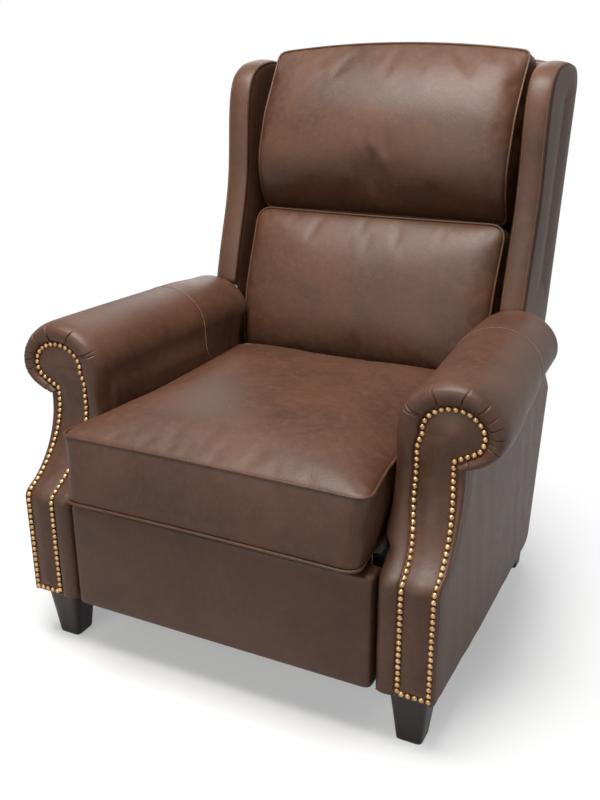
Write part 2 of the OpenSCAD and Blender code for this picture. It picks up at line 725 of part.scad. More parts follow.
// A tube of five sides along the points p, whose section lies across the vector up
wire_sides = 5;
module wire(p, up) {
    n = len(p);
    skin([
        for (i = [0:n - 1])
        let (
            d = p[min(i + 1, n - 1)] - p[max(i - 1, 0)],
            t = d / norm(d),
            s = cross(up, t) / norm(cross(up, t)),
            w = cross(t, s)
        )
        [for (k = [0:wire_sides - 1]) let (a = 360 * k / wire_sides) p[i] + wire_d / 2 * (cos(a) * s + sin(a) * w)]
    ]);
}
// A zigzag spring of given length that runs along +X from the origin
zigzag_loops = 10;
function zigzag(length) = concat(
    [[0, 0, 0]],
    [
        for (i = [0:zigzag_loops - 1])
        for (e = [0.15, 0.5, 0.85])
        let (side = i % 2 == 0 ? 1 : -1)
        [length * (i + e) / zigzag_loops, side * spring_w / 2 * (e == 0.5 ? 1 : 0.78), 0]
    ],
    [[length, 0, 0]]
);
seat_spring_len = seat_frame_end_y - seat_frame_y - 2 * seat_rail_t - 2 * seat_gap;
module seat_springs() color("#55585b")
    for (i = [0:seat_spring_count - 1])
        translate([
            mix(-seat_rail_x, seat_rail_x, (i + 0.5) / seat_spring_count),
            seat_frame_y + seat_rail_t + seat_gap,
            seat_rail_z + seat_rail_h - wire_d
        ])
            rotate([0, 0, 90]) wire(zigzag(seat_spring_len), [0, 0, 1]);

// A cushion: rings of a rounded rectangle whose sides draw in, stacked from the rear to the crown.
// The rectangle spans -1 to 1 both ways, and c is its corner radius as a share of each half side.
corner_steps = 5;
side_steps = 6;
function corner_sign(k) = [k % 4 == 0 || k % 4 == 3 ? 1 : -1, k % 4 < 2 ? 1 : -1];
function corner_point(k, a, c) = let (d = corner_sign(k)) [d[0] * (1 - c[0]) + c[0] * cos(a), d[1] * (1 - c[1]) + c[1] * sin(a)];
function cushion_ring(share, pull, c) = [
    for (k = [0:3])
    for (i = [0:corner_steps + side_steps - 1])
    let (
        p = i <= corner_steps
            ? corner_point(k, 90 * (k + i / corner_steps), c)
            : mix(
                corner_point(k, 90 * (k + 1), c),
                corner_point(k + 1, 90 * (k + 1), c),
                (i - corner_steps) / side_steps
            )
    )
    share * [p[0] * (1 - pull * (1 - p[1] * p[1])), p[1] * (1 - pull * (1 - p[0] * p[0]))]
];
// [share of the outline, share of the boxing's height, share of the crown]
box_cushion_shares = [
    [0.4, 0, 0], [0.9, 0, 0], [0.99, 0.01, 0], [1, 0.06, 0], [0.985, 0.14, 0], [0.98, 0.5, 0], [0.985, 0.86, 0],
    [1, 0.94, 0], [0.99, 1, 0], [0.96, 1, 0.14], [0.9, 1, 0.42], [0.75, 1, 0.75], [0.5, 1, 0.95], [0.22, 1, 1]
];
seat_mid_y = (seat_back_y - seat_nose) / 2;
seat_half_d = (seat_back_y + seat_nose) / 2;
cushion_pull = 0.012;
cushion_corner = 26;
function seat_half_w(y) =
    mix(arm_face_front - seat_side_gap, arm_face_rear - 2 * seat_gap, ease((y - arm_setback) / (seat_mid_y - arm_setback)));
seat_cushion_rings = [
    for (f = box_cushion_shares)
    [
        for (p = cushion_ring(f[0], cushion_pull, cushion_corner / seat_half_d * [1, 1]))
        let (y = seat_mid_y + p[1] * seat_half_d)
        [
            p[0] * seat_half_w(y),
            y + (p[1] < 0 ? seat_rake * f[1] * p[1] * p[1] : 0),
            deck_z + deck_t + f[1] * seat_h + f[2] * seat_crown
        ]
    ]
];
module seat_cushion() color("#4f382f") skin(seat_cushion_rings);
front_reach = -min([for (r = seat_cushion_rings) for (p = r) p[1]]);
rear_reach = back_y + (back_len + back_arch) * sin(rear_lean);
origin_y = (rear_reach - front_reach) / 2;

/* Back, drawn upright: y is the depth in front of the outside back (negative forwards), z runs up the slope */

module on_back() translate([0, back_y, back_z]) rotate([-rear_lean, 0, 0]) children();
function back_local(p) = tilt(p - [back_y, back_z], -rear_lean);
frame_front = -back_panel_t - seat_gap - back_post_d;
frame_rear = -back_panel_t - seat_gap;
back_half_w = layer_x(1) - seat_gap;
cover_t = back_panel_t / 2;
post_out = back_half_w - cover_t - seat_gap;
post_in = post_out - back_post_w;
frame_low_s = ear_drop;
frame_top_s = back_len - 2 * back_panel_t;
module back_posts() color("#c9a66b") on_back() both()
    box(post_in, post_out, frame_front, frame_rear, frame_low_s, frame_top_s);
module back_rail(s) box(-post_in + seat_gap, post_in - seat_gap, frame_front, frame_rear, s, s + back_post_d);
module back_top_rail() color("#c9a66b") on_back() back_rail(frame_top_s - back_post_d);
module back_lower_rail() color("#c9a66b") on_back() back_rail(frame_low_s);
module back_springs() color("#55585b") on_back()
    for (i = [0:back_spring_count - 1])
        translate([
            -post_in + seat_gap,
            frame_front + wire_d,
            mix(frame_low_s + back_post_d, frame_top_s - back_post_d, (i + 0.5) / back_spring_count)
        ])
            wire([for (p = zigzag(2 * (post_in - seat_gap))) [p[0], 0, p[1]]], [0, 1, 0]);

// Back bracket: a plate on the side of the post, reaching forward to the hinge and down to the ear
module back_brackets() color("#6d6f72") both() yz(layer_x(1), strip_t) difference() {
    union() {
        polygon([
            ear + [-end_r, 0],
            ear + [end_r, 0],
            back_point([frame_rear - strip_t, frame_low_s]),
            back_point([frame_rear - strip_t, 4 * frame_low_s]),
            back_point([frame_front + strip_t, 4 * frame_low_s]),
            hinge + [-end_r, 0]
        ]);
        for (p = [hinge, ear]) translate(p) circle(end_r, $fn = 48);
    }
    for (p = [hinge, ear]) translate(p) circle(hole_r, $fn = 48);
}
function back_point(p) = [back_y, back_z] + tilt(p, rear_lean);

// Outside back: narrow between the arms, full width between the wings, arched on top
back_full_w = wing_face;
function arch(x) = back_len + back_arch * (1 - pow(x / back_full_w, 2));
module outside_back() color("#46312a") on_back() {
    xz(-back_panel_t, back_panel_t)
        polygon(concat(
            [[-back_half_w, 0], [back_half_w, 0], [back_half_w, wing_low_s], [back_full_w, wing_low_s + liner_t]],
            [for (i = [0:16]) let (x = mix(back_full_w, -back_full_w, i / 16)) [x, arch(x)]],
            [[-back_full_w, wing_low_s + liner_t], [-back_half_w, wing_low_s]]
        ));
    both() box(back_half_w - cover_t, back_half_w, frame_front, tiny - back_panel_t, 0, wing_hem_s);
}

// Wing outline in (y, s): hem, S-shaped front edge, rounded top
// [share of the depth, share of the height], from the hem up to the rear top corner
wing_front_shares = [
    [1, 0.0], [0.985, 0.12], [0.955, 0.26], [0.925, 0.4], [0.925, 0.52], [0.965, 0.64], [1, 0.73],
    [0.995, 0.8], [0.94, 0.87], [0.79, 0.935], [0.51, 0.98], [0.25, 0.995], [0, 1]
];
wing_hem_s = wing_low_s + wing_hem_rise;
function wing_edge(inset) = concat(
    [[-inset, wing_low_s + inset]],
    [for (f = wing_front_shares)
        [-f[0] * wing_d + inset * (1 - 2 * max(0, 0.5 - f[0])), mix(wing_hem_s, back_len, f[1]) + inset * (1 - 2 * f[1])]]
);
wing_round = 10;
wing_bevel_shares = [[1, 0], [0.35, 0.3], [0, 1]];
module wing() {
    n = len(wing_bevel_shares);
    levels = concat(
        [for (i = [0:n - 1]) [wing_bevel_shares[i][0] * wing_round, wing_face + seat_gap + wing_bevel_shares[i][1] * wing_round]],
        [for (i = [n - 1:-1:0]) [wing_bevel_shares[i][0] * wing_round, wing_face + wing_t - wing_bevel_shares[i][1] * wing_round]]
    );
    skin([for (v = levels) let (e = wing_edge(v[0])) [for (i = [len(e) - 1:-1:0]) [v[1], e[i][0], e[i][1]]]]);
}
module wing_mount() box(back_half_w + seat_gap, wing_face, frame_front, frame_rear, wing_hem_s, back_len - 2 * wing_round);
module wing_right() color("#4a342c") on_back() {
    wing();
    wing_mount();
}
module wing_left() color("#4a342c") on_back() mirror([1, 0, 0]) {
    wing();
    wing_mount();
}

// Back pillows: rings over the face of the back, from the frame forward to the crown
// The welt line of the pillows in (depth, s) stands in front of the outside back
lumbar_low_s = 96;
pillow_corner = 34;
lumbar_depth_shares = [0.98, 0.9, 0.84];
head_depth_shares = [0.88, 0.9, 0.6];
function depth_at(shares, t) =
    wing_d * (t < 0.5 ? mix(shares[0], shares[1], 2 * t) : mix(shares[1], shares[2], 2 * t - 1));
module pillow(low, high, shares, half_w_low, half_w, arch_rise) skin([
    for (f = box_cushion_shares)
    [
        for (p = cushion_ring(f[0], cushion_pull, pillow_corner * [1 / half_w, 2 / (high - low)]))
        let (
            t = (p[1] + 1) / 2,
            w = mix(half_w_low, half_w, ease(2 * t)),
            welt = depth_at(shares, t),
            rear = -frame_front + seat_gap,
            x = p[0] * w
        )
        [
            -x,
            -mix(rear, welt, f[1]) - f[2] * pillow_crown,
            mix(low, high + arch_rise * (1 - p[0] * p[0]), t)
        ]
    ]
]);
module lumbar_cushion() color("#4f382f") on_back()
    pillow(lumbar_low_s, crease_s - 2 * seat_gap, lumbar_depth_shares, arm_face_rear - 4 * seat_gap, pillow_half_w, 0);
module head_cushion() color("#4f382f") on_back()
    pillow(crease_s + 2 * seat_gap, back_len, head_depth_shares, pillow_half_w, pillow_half_w, back_arch);

/* Footrest */

foot_corner = 12;
foot_pad_y = -foot_crown - foot_out;
foot_board_y = foot_pad_y + foot_pad_t + seat_gap;
foot_board_back_y = foot_board_y + foot_board_t;
module footrest_board() color("#c9a66b")
    box(-foot_half_w + foot_crown, foot_half_w - foot_crown, foot_board_y, foot_board_back_y,
        foot_low_z + foot_crown, foot_top_z - foot_crown);
foot_pad_shares = [[0.4, 0], [0.98, 0], [1, 0.15], [1, 0.4], [0.99, 0.62], [0.96, 0.8], [0.88, 0.93], [0.6, 1], [0.25, 1]];
module footrest_pad() color("#46312a") skin([
    for (f = foot_pad_shares)
    [
        for (p = cushion_ring(f[0], 0, foot_corner * [1 / foot_half_w, 2 / (foot_top_z - foot_low_z)]))
        [
            -p[0] * foot_half_w,
            foot_pad_y + foot_pad_t * (1 - f[1]),
            mix(foot_low_z, foot_top_z, (p[1] + 1) / 2)
        ]
    ]
]);
// Footrest bracket: a plate with both pivots and a flange against the board
flange_w = 26;
module footrest_brackets() color("#6d6f72") both() {
    yz(layer_x(1), strip_t) difference() {
        union() {
            polygon([
                [foot_board_back_y + seat_gap, bracket_low[1] - end_r],
                [bracket_low[0], bracket_low[1] - end_r],
                bracket_low + [end_r, 0],
                bracket_top + [end_r, 0],
                [foot_board_back_y + seat_gap, bracket_top[1]]
            ]);
            for (p = [bracket_top, bracket_low]) translate(p) circle(end_r, $fn = 48);
        }
        for (p = [bracket_top, bracket_low]) translate(p) circle(hole_r, $fn = 48);
        translate([0, bracket_low[1] - strip_w]) square([foot_board_back_y + seat_gap, foot_top_z]);
    }
    box(layer_x(1) - flange_w, layer_x(1) + tiny, foot_board_back_y + seat_gap, foot_board_back_y + seat_gap + strip_t,
        bracket_low[1] - end_r, bracket_top[1] - end_r);
}

to_origin() front_legs();
to_origin() rear_legs();
to_origin() leg_glides();
to_origin() base_side_rails();
to_origin() base_front_rail();
to_origin() base_rear_rail();
to_origin() arm_webs();
to_origin() arm_front_posts();
to_origin() arm_rear_posts();
to_origin() arm_top_boards();
to_origin() inside_arm_left();
to_origin() inside_arm_right();
to_origin() outside_arm_left();
to_origin() outside_arm_right();
to_origin() arm_roll_left();
to_origin() arm_roll_right();
to_origin() arm_facing_left();
to_origin() arm_facing_right();
to_origin() nail_heads_left();
to_origin() nail_heads_right();
to_origin() mechanism_base_plates();
to_origin() base_pivot_rivets();
to_origin() base_plate_screws();
to_origin() front_swing_links();
to_origin() rear_swing_links();
to_origin() seat_side_plates();
to_origin() seat_pivot_rivets();
to_origin() seat_front_rail();
to_origin() seat_rear_rail();
to_origin() seat_side_rails();
to_origin() seat_springs();
to_origin() seat_deck();
to_origin() seat_cushion();
to_origin() back_posts();
to_origin() back_top_rail();
to_origin() back_lower_rail();
to_origin() back_springs();
to_origin() back_brackets();
to_origin() back_pivot_rivets();
to_origin() outside_back();
to_origin() wing_left();
to_origin() wing_right();
to_origin() lumbar_cushion();
to_origin() head_cushion();
to_origin() back_control_links();
to_origin() footrest_front_links();
to_origin() footrest_link_rivets();
to_origin() footrest_rear_links();
to_origin() footrest_lower_links();
to_origin() footrest_lower_rivets();
to_origin() footrest_upper_links();
to_origin() footrest_brackets();
to_origin() footrest_bracket_rivets();
to_origin() footrest_board();
to_origin() footrest_pad();
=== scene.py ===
import math

import bmesh
import bpy
import numpy as np
from mathutils import Matrix, Vector


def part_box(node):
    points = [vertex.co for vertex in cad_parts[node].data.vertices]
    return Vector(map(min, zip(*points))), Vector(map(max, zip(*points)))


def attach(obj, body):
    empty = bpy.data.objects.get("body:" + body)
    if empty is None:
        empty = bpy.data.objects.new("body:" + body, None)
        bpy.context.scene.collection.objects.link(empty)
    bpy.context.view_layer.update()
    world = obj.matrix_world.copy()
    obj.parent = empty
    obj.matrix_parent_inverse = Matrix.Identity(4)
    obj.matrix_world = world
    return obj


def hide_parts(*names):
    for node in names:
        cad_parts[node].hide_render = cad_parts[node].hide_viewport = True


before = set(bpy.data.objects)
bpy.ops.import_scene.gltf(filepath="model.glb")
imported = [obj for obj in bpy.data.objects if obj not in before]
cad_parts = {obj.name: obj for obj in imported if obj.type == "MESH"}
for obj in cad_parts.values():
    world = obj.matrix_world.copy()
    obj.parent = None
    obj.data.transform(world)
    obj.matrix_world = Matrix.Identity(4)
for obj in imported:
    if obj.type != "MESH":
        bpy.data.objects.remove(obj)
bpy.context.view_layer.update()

# Where the origin of the sizes below, the front of the arms, lies in the shared frame, in metres
ORIGIN = np.array((0.0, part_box("arm_facing_right")[0].y, 0.0))
MM = 0.001
SIDES = ((1, "right"), (-1, "left"))

# Sizes of the chair in millimetres: x to the right of the viewer, y backwards from the front of the
# arms, z up from the floor. They are those of the CAD part, but for the rolls, whose cover runs 12 mm
# further back here, and the wings, whose hem hangs about 11 mm lower.
HEM = 107.0                           # lower edge of the arms
ARM_IN = 302.0                        # half the width between the liners of the arms
SETBACK = 100.0                       # how far the upper arm stands back behind the knee
COVE_R, COVE_TOP = 171.0, 467.0       # radius of the cove and the height where it turns upright
NECK = 487.0                          # height of the neck under the scroll
ROLL_Z = 527.0                        # height of the roll's centre line
ROLL_X, ROLL_REAR_X = 379.0, 352.0    # its place at the front and at the rear
ROLL_R, ROLL_REAR_R = 84.0, 80.0      # its radius at the front and at the rear
ROLL_LIP = 54.0                       # how far the outer lip hangs below the centre line
ROLL_END = 616.0                      # rear end of the roll
ROLL_SEAM_Y = 428.6                   # the stitched seam across the roll
SCROLL = np.array((379.5, 531.0))     # centre of the nailed scroll, and its two radii
SCROLL_R = np.array((50.0, 41.5))
SCROLL_TURN = (-35.0, 190.0)          # degrees round it, from the neck to the sitter's side
INNER_TOP = 506.0                     # where the column of inner nails meets the scroll
FACE_FRONT, FACE_REAR = 281.0, 265.0  # half the width between the padded arms, front and rear
PAD_Z = 342.0                         # height above which the inside arms are padded
REAR_FOOT, REAR_TURN = 613.0, 423.7   # foot of the arm's rear edge, and the height where it turns forward
LEAN = math.radians(12.3)             # lean of the back
BACK_Y, BACK_Z = 757.0, 276.0         # foot of the outside back
BACK_LEN, BACK_HALF = 790.0, 303.0    # its height up the slope and its half width between the wings
BACK_ARCH = 24.0                      # rise of its top edge in the middle
FRAME_FACE = 50.6                     # front of the back's frame, before its outside
BACK_DEPTH = 184.0                    # full depth of the back with its pillows
OUTER_NAILS, INNER_NAILS = 394.0, 341.0  # the two columns of nails below the knee
NAIL_PITCH, NAIL_R = 11.4, 5.458      # step of the nails, and the radius of the sphere they are cut from


# Plain calculations on whole arrays

def mix(a, b, t):
    """Straight blend: a at t 0 and b at t 1."""
    return a + (b - a) * t


def ease(t):
    """Smooth step: three t squared less two t cubed, held at 0 and 1 outside."""
    t = np.clip(t, 0.0, 1.0)
    return t * t * (3.0 - 2.0 * t)


def hill(d, width):
    """Bell curve: e to the power of minus (d over width) squared."""
    return np.exp(-(d / width) ** 2)


def running_length(path):
    """Distance along a polyline at each of its points: the sum of the steps up to it."""
    return np.concatenate(([0.0], np.cumsum(np.linalg.norm(np.diff(path, axis=0), axis=1))))


def read_along(s, run, values):
    """Values that belong to the points of a polyline, read at distances s along it."""
    return np.stack([np.interp(s, run, column) for column in np.asarray(values).T], axis=1)


def along_path(path, count):
    """count points at even distances along a polyline."""
    run = running_length(path)
    return read_along(np.linspace(0.0, run[-1], count), run, path)


def softened(values, passes, closed=False):
    """Each value becomes half itself and a quarter of each neighbour, again and again; open ends stay."""
    v = np.array(values, float)
    for _ in range(passes):
        near = 0.5 * v + 0.25 * (np.roll(v, 1, axis=0) + np.roll(v, -1, axis=0))
        if not closed:
            near[0], near[-1] = v[0], v[-1]
        v = near
    return v


def ripple(seed, *axes):
    """Gentle unevenness between about -1 and 1: five sine waves of fixed random directions and phases,
    over coordinates that are already divided by the size of the ripples."""
    rng = np.random.default_rng(seed)
    total = 0.0
    for _ in range(5):
        direction = rng.normal(size=len(axes))
        direction *= rng.uniform(3.0, 7.0) / np.linalg.norm(direction)
        total = total + np.sin(sum(d * a for d, a in zip(direction, axes)) + rng.uniform(0.0, 6.3))
    return total / 3.0


def on_back(depth, x, slope):
    """A point of the back: depth in front of the outside back, x, and height up its slope, turned by
    the lean of the back about the foot of the outside back."""
    y = BACK_Y - depth * math.cos(LEAN) + slope * math.sin(LEAN)
    z = BACK_Z + slope * math.cos(LEAN) + depth * math.sin(LEAN)
    return np.stack(np.broadcast_arrays(x, y, z), axis=-1)


# Meshes from grids of points

def grid_faces(rows, columns, wrap=False):
    """The four corners of every square of a grid, row by row; wrap joins the last column to the first."""
    i, j = np.meshgrid(np.arange(rows - 1), np.arange(columns if wrap else columns - 1), indexing="ij")
    k = (j + 1) % columns
    low, high = i * columns, (i + 1) * columns
    return np.stack((low + j, low + k, high + k, high + j), axis=-1).reshape(-1, 4)


def raw_mesh(name, points, faces):
    """A smooth mesh of four-sided faces from points in millimetres."""
    points = np.asarray(points, float).reshape(-1, 3) * MM + ORIGIN
    mesh = bpy.data.meshes.new(name)
    mesh.vertices.add(len(points))
    mesh.vertices.foreach_set("co", points.ravel())
    mesh.loops.add(faces.size)
    mesh.loops.foreach_set("vertex_index", faces.ravel().astype(np.int32))
    mesh.polygons.add(len(faces))
    mesh.polygons.foreach_set("loop_start", np.arange(0, faces.size, 4, dtype=np.int32))
    mesh.update(calc_edges=True)
    return mesh


def face_values(mesh, kind, width=3):
    """One row per face of the mesh: its centre, normal or area."""
    values = np.empty(len(mesh.polygons) * width)
    mesh.polygons.foreach_get(kind, values)
    return values.reshape(-1, width)


def piece(name, points, faces, body, material, slot, inside=None):
    """A piece that rides on a body. Doubled points are merged. A closed shape is turned to face outwards;
    a sheet is turned away from the point inside, as the sum of its faces' directions says."""
    mesh = raw_mesh(name, points, faces)
    edit = bmesh.new()
    edit.from_mesh(mesh)
    bmesh.ops.remove_doubles(edit, verts=edit.verts, dist=0.00002)
    bmesh.ops.dissolve_degenerate(edit, edges=edit.edges, dist=0.000001)
    bmesh.ops.recalc_face_normals(edit, faces=edit.faces)
    edit.to_mesh(mesh)
    edit.free()
    if inside is not None:
        out = face_values(mesh, "center") - (np.asarray(inside, float) * MM + ORIGIN)
        if (out * face_values(mesh, "normal") * face_values(mesh, "area", 1)).sum() < 0.0:
            mesh.flip_normals()
    return shown(name, mesh, body, material)


def shown(name, mesh, body, material):
    """The mesh as a smooth piece of the scene, with its material, on its body."""
    mesh.shade_smooth()
    made = bpy.data.objects.new(name, mesh)
    bpy.context.scene.collection.objects.link(made)
    mesh.materials.append(material)
    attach(made, body)
    return made


def thickened(made, thickness):
    """Gives a hide its thickness, inwards."""
    wall = made.modifiers.new("thickness", "SOLIDIFY")
    wall.thickness = thickness
    wall.offset = -1.0


def smoothed(made):
    """One round of subdivision, in the render as in the view."""
    smooth = made.modifiers.new("smooth", "SUBSURF")
    smooth.levels = smooth.render_levels = 1


def on_side(points, side):
    """Points of the right side, or for side -1 the same points on the other side of the chair's middle."""
    return np.asarray(points) * (float(side), 1.0, 1.0)


def quarter(count):
    """Angles of a quarter turn, from 0 to 90 degrees."""
    return np.linspace(0.0, np.pi / 2.0, count)


def surface_normals(points):
    """Unit normals of a grid: the cross product of its two directions of steps."""
    n = np.cross(np.gradient(points, axis=0), np.gradient(points, axis=1))
    return n / np.maximum(np.linalg.norm(n, axis=-1, keepdims=True), 1e-9)


def tube(path, radius, sides=8, closed=False, up=(0.0, 0.0, 1.0)):
    """A round cord: a circle carried along the path, in the plane of the path's side (its direction
    crossed with up) and of that side crossed with the direction. Open ends close to a point."""
    path = np.asarray(path, float)
    if closed:
        step = np.roll(path, -1, axis=0) - np.roll(path, 1, axis=0)
    else:
        step = np.gradient(path, axis=0)
    step /= np.linalg.norm(step, axis=1, keepdims=True)
    side = np.cross(step, np.asarray(up, float))
    side /= np.linalg.norm(side, axis=1, keepdims=True)
    rise = np.cross(side, step)
    a = np.linspace(0.0, 2.0 * np.pi, sides, endpoint=False)
    r = np.broadcast_to(radius, (len(path),))[:, None, None]
    c, s = np.cos(a)[None, :, None], np.sin(a)[None, :, None]
    ring = path[:, None] + r * (c * side[:, None] + s * rise[:, None])
    if closed:
        ring = np.concatenate((ring, ring[:1]))
    else:
        first, last = (np.repeat(end[:, None], sides, axis=1) for end in (path[:1], path[-1:]))
        ring = np.concatenate((first, ring, last))
    return ring.reshape(-1, 3), grid_faces(len(ring), sides, wrap=True)


def repeated(faces, points_each, count):
    """The faces of one shape repeated for count of them, whose points follow one another."""
    return (faces[None] + points_each * np.arange(count)[:, None, None]).reshape(-1, 4)


def stitches(path, outward, pitch=5.2, length=3.7, radius=0.62):
    """A row of stitches: each is a thin lens along the path, four corners round its middle and a point at
    each end, repeated at an even pitch by whole-array sums."""
    run = running_length(path)
    s = np.arange(pitch / 2.0, run[-1] - pitch / 2.0, pitch)
    start, middle, end = (read_along(s + shift, run, path) for shift in (-length / 2.0, 0.0, length / 2.0))
    t = (end - start) / np.linalg.norm(end - start, axis=1, keepdims=True)
    out = read_along(s, run, outward)
    side = np.cross(t, out)
    side /= np.linalg.norm(side, axis=1, keepdims=True)
    out = np.cross(side, t)
    corners = [middle + radius * (a * side + b * out) for a, b in ((1, 0), (0, 1), (-1, 0), (0, -1))]
    first, last = [start - 0.4 * radius * out] * 4, [end - 0.4 * radius * out] * 4
    points = np.stack(first + corners + last, axis=1)
    return points.reshape(-1, 3), repeated(grid_faces(3, 4, wrap=True), points.shape[1], len(s))


def joined(parts):
    """Several (points, faces) pairs as one."""
    points, faces, count = [], [], 0
    for p, f in parts:
        p = np.asarray(p, float).reshape(-1, 3)
        points.append(p)
        faces.append(np.asarray(f) + count)
        count += len(p)
    return np.vstack(points), np.vstack(faces)


# Materials

FLOAT, COLOUR, VECTOR = "NodeSocketFloat", "NodeSocketColor", "NodeSocketVector"
RESULTS = ((COLOUR, "Color"), (FLOAT, "Roughness"), (FLOAT, "Height"))


def new_group(name, inputs):
    """A shader group with named inputs, and a colour, a roughness and a height as outputs. Gives the group,
    the sockets of its inputs and the node that its results go to."""
    tree = bpy.data.node_groups.new(name, "ShaderNodeTree")
    for kind, label, value in inputs:
        socket = tree.interface.new_socket(label, in_out="INPUT", socket_type=kind)
        socket.default_value = value
    for kind, label in RESULTS:
        tree.interface.new_socket(label, in_out="OUTPUT", socket_type=kind)
    return tree, tree.nodes.new("NodeGroupInput").outputs, tree.nodes.new("NodeGroupOutput")


def add(tree, kind, values=(), links=(), **options):
    """A node with its options, fixed input values and incoming links."""
    node = tree.nodes.new(kind)
    for key, value in options.items():
        setattr(node, key, value)
    for key, value in dict(values).items():
        node.inputs[key].default_value = value
    for key, source in dict(links).items():
        tree.links.new(source, node.inputs[key])
    return node


def math_node(tree, operation, *inputs):
    """A calculation on two or three values, each a plain number or a socket."""
    fixed = {k: v for k, v in enumerate(inputs) if isinstance(v, float)}
    linked = {k: v for k, v in enumerate(inputs) if not isinstance(v, float)}
    return add(tree, "ShaderNodeMath", fixed, linked, operation=operation).outputs[0]


def ramp(tree, source, low, high):
    """Two stops over a value, each a place and its grey, blended between them."""
    node = add(tree, "ShaderNodeValToRGB", links={0: source})
    for element, (place, grey) in zip(node.color_ramp.elements, (low, high)):
        element.position, element.color = place, (grey, grey, grey, 1.0)
    return node.outputs[0]


def colour_mix(tree, share, first, second, **options):
    """The first colour at share 0 and the second at 1, or the two blended as the options say."""
    node = add(tree, "ShaderNodeMix", data_type="RGBA", **options)
    for index, value in ((0, share), (6, first), (7, second)):
        if isinstance(value, (float, tuple)):
            node.inputs[index].default_value = value
        else:
            tree.links.new(value, node.inputs[index])
    return node.outputs[2]


def put_out(tree, out, colour, roughness, height):
    """Links the three results of a group to its outputs."""
    for label, source in (("Color", colour), ("Roughness", roughness), ("Height", height)):
        tree.links.new(source, out.inputs[label])
    return tree


def leather_grain_group():
    """Pebbled hide: cells of a few millimetres with fine pores between them, soft wandering creases and
    cloudy pull-up colour. Puts out a colour, a roughness and a height."""
    tree, given, out = new_group(
        "leather_grain",
        [(COLOUR, "Deep", (0.05, 0.03, 0.02, 1)), (COLOUR, "Main", (0.1, 0.06, 0.04, 1)),
         (COLOUR, "Worn", (0.15, 0.09, 0.07, 1)), (FLOAT, "Cell Scale", 420.0), (FLOAT, "Cloud Scale", 6.0)])
    place = add(tree, "ShaderNodeTexCoord").outputs["Object"]
    cloud = add(tree, "ShaderNodeTexNoise", {"Detail": 5.0, "Roughness": 0.55, "Distortion": 0.4},
                {"Vector": place, "Scale": given["Cloud Scale"]}).outputs["Fac"]
    fleck = add(tree, "ShaderNodeTexNoise", {"Scale": 70.0, "Detail": 4.0, "Roughness": 0.6},
                {"Vector": place}).outputs["Fac"]
    cells = add(tree, "ShaderNodeTexVoronoi", {"Smoothness": 0.6, "Randomness": 0.9},
                {"Vector": place, "Scale": given["Cell Scale"]}, feature="SMOOTH_F1").outputs["Distance"]
    pores = add(tree, "ShaderNodeTexNoise", {"Scale": 1500.0, "Detail": 2.0},
                {"Vector": place}).outputs["Fac"]
    crease = add(tree, "ShaderNodeTexNoise", {"Scale": 34.0, "Detail": 3.0, "Distortion": 1.2},
                 {"Vector": place}).outputs["Fac"]
    low = colour_mix(tree, ramp(tree, cloud, (0.3, 0.0), (0.6, 1.0)), given["Deep"], given["Main"])
    high = colour_mix(tree, ramp(tree, fleck, (0.45, 0.0), (0.8, 0.5)), low, given["Worn"])
    shade = colour_mix(tree, 0.35, high, ramp(tree, cells, (0.25, 1.0), (0.8, 0.55)), blend_type="MULTIPLY")
    rough = add(tree, "ShaderNodeMapRange", {"To Min": 0.37, "To Max": 0.58}, {"Value": fleck}).outputs[0]
    pebble = math_node(tree, "MULTIPLY", cells, -0.8)
    pore = math_node(tree, "MULTIPLY_ADD", pores, 0.25, pebble)
    return put_out(tree, out, shade, rough, math_node(tree, "MULTIPLY_ADD", crease, 1.6, pore))


def wood_grain_group():
    """Straight-grained wood: bands stretched along the height, broken by noise, with fine dark pores."""
    tree, given, out = new_group(
        "wood_grain",
        [(COLOUR, "Early", (0.5, 0.35, 0.2, 1)), (COLOUR, "Late", (0.3, 0.2, 0.1, 1)),
         (VECTOR, "Stretch", (60.0, 60.0, 5.0))])
    place = add(tree, "ShaderNodeTexCoord").outputs["Object"]
    long = add(tree, "ShaderNodeMapping", links={"Vector": place, "Scale": given["Stretch"]}).outputs[0]
    band = add(tree, "ShaderNodeTexNoise", {"Scale": 1.0, "Detail": 6.0, "Roughness": 0.6, "Distortion": 0.8},
               {"Vector": long}).outputs["Fac"]
    pore = add(tree, "ShaderNodeTexNoise", {"Scale": 7.0, "Detail": 3.0}, {"Vector": long}).outputs["Fac"]
    tone = colour_mix(tree, ramp(tree, band, (0.35, 0.0), (0.65, 1.0)), given["Early"], given["Late"])
    rough = add(tree, "ShaderNodeMapRange", {"To Min": 0.28, "To Max": 0.5}, {"Value": pore}).outputs[0]
    return put_out(tree, out, tone, rough, pore)


def worn_metal_group():
    """Handled metal: cloudy tarnish in the hollows of a noise and a fine scratch-like grain."""
    tree, given, out = new_group(
        "worn_metal",
        [(COLOUR, "Bright", (0.6, 0.45, 0.2, 1)), (COLOUR, "Dull", (0.2, 0.13, 0.06, 1)),
         (FLOAT, "Spot Scale", 60.0), (FLOAT, "Smoothest", 0.25)])
    place = add(tree, "ShaderNodeTexCoord").outputs["Object"]
    spot = add(tree, "ShaderNodeTexNoise", {"Detail": 5.0, "Roughness": 0.6},
               {"Vector": place, "Scale": given["Spot Scale"]}).outputs["Fac"]
    fine = add(tree, "ShaderNodeTexNoise", {"Scale": 900.0, "Detail": 2.0}, {"Vector": place}).outputs["Fac"]
    tone = colour_mix(tree, ramp(tree, spot, (0.38, 0.0), (0.62, 1.0)), given["Dull"], given["Bright"])
    rough = math_node(tree, "MULTIPLY_ADD", spot, 0.28, given["Smoothest"])
    return put_out(tree, out, tone, rough, fine)


GROUPS = dict(leather=leather_grain_group(), wood=wood_grain_group(), metal=worn_metal_group())


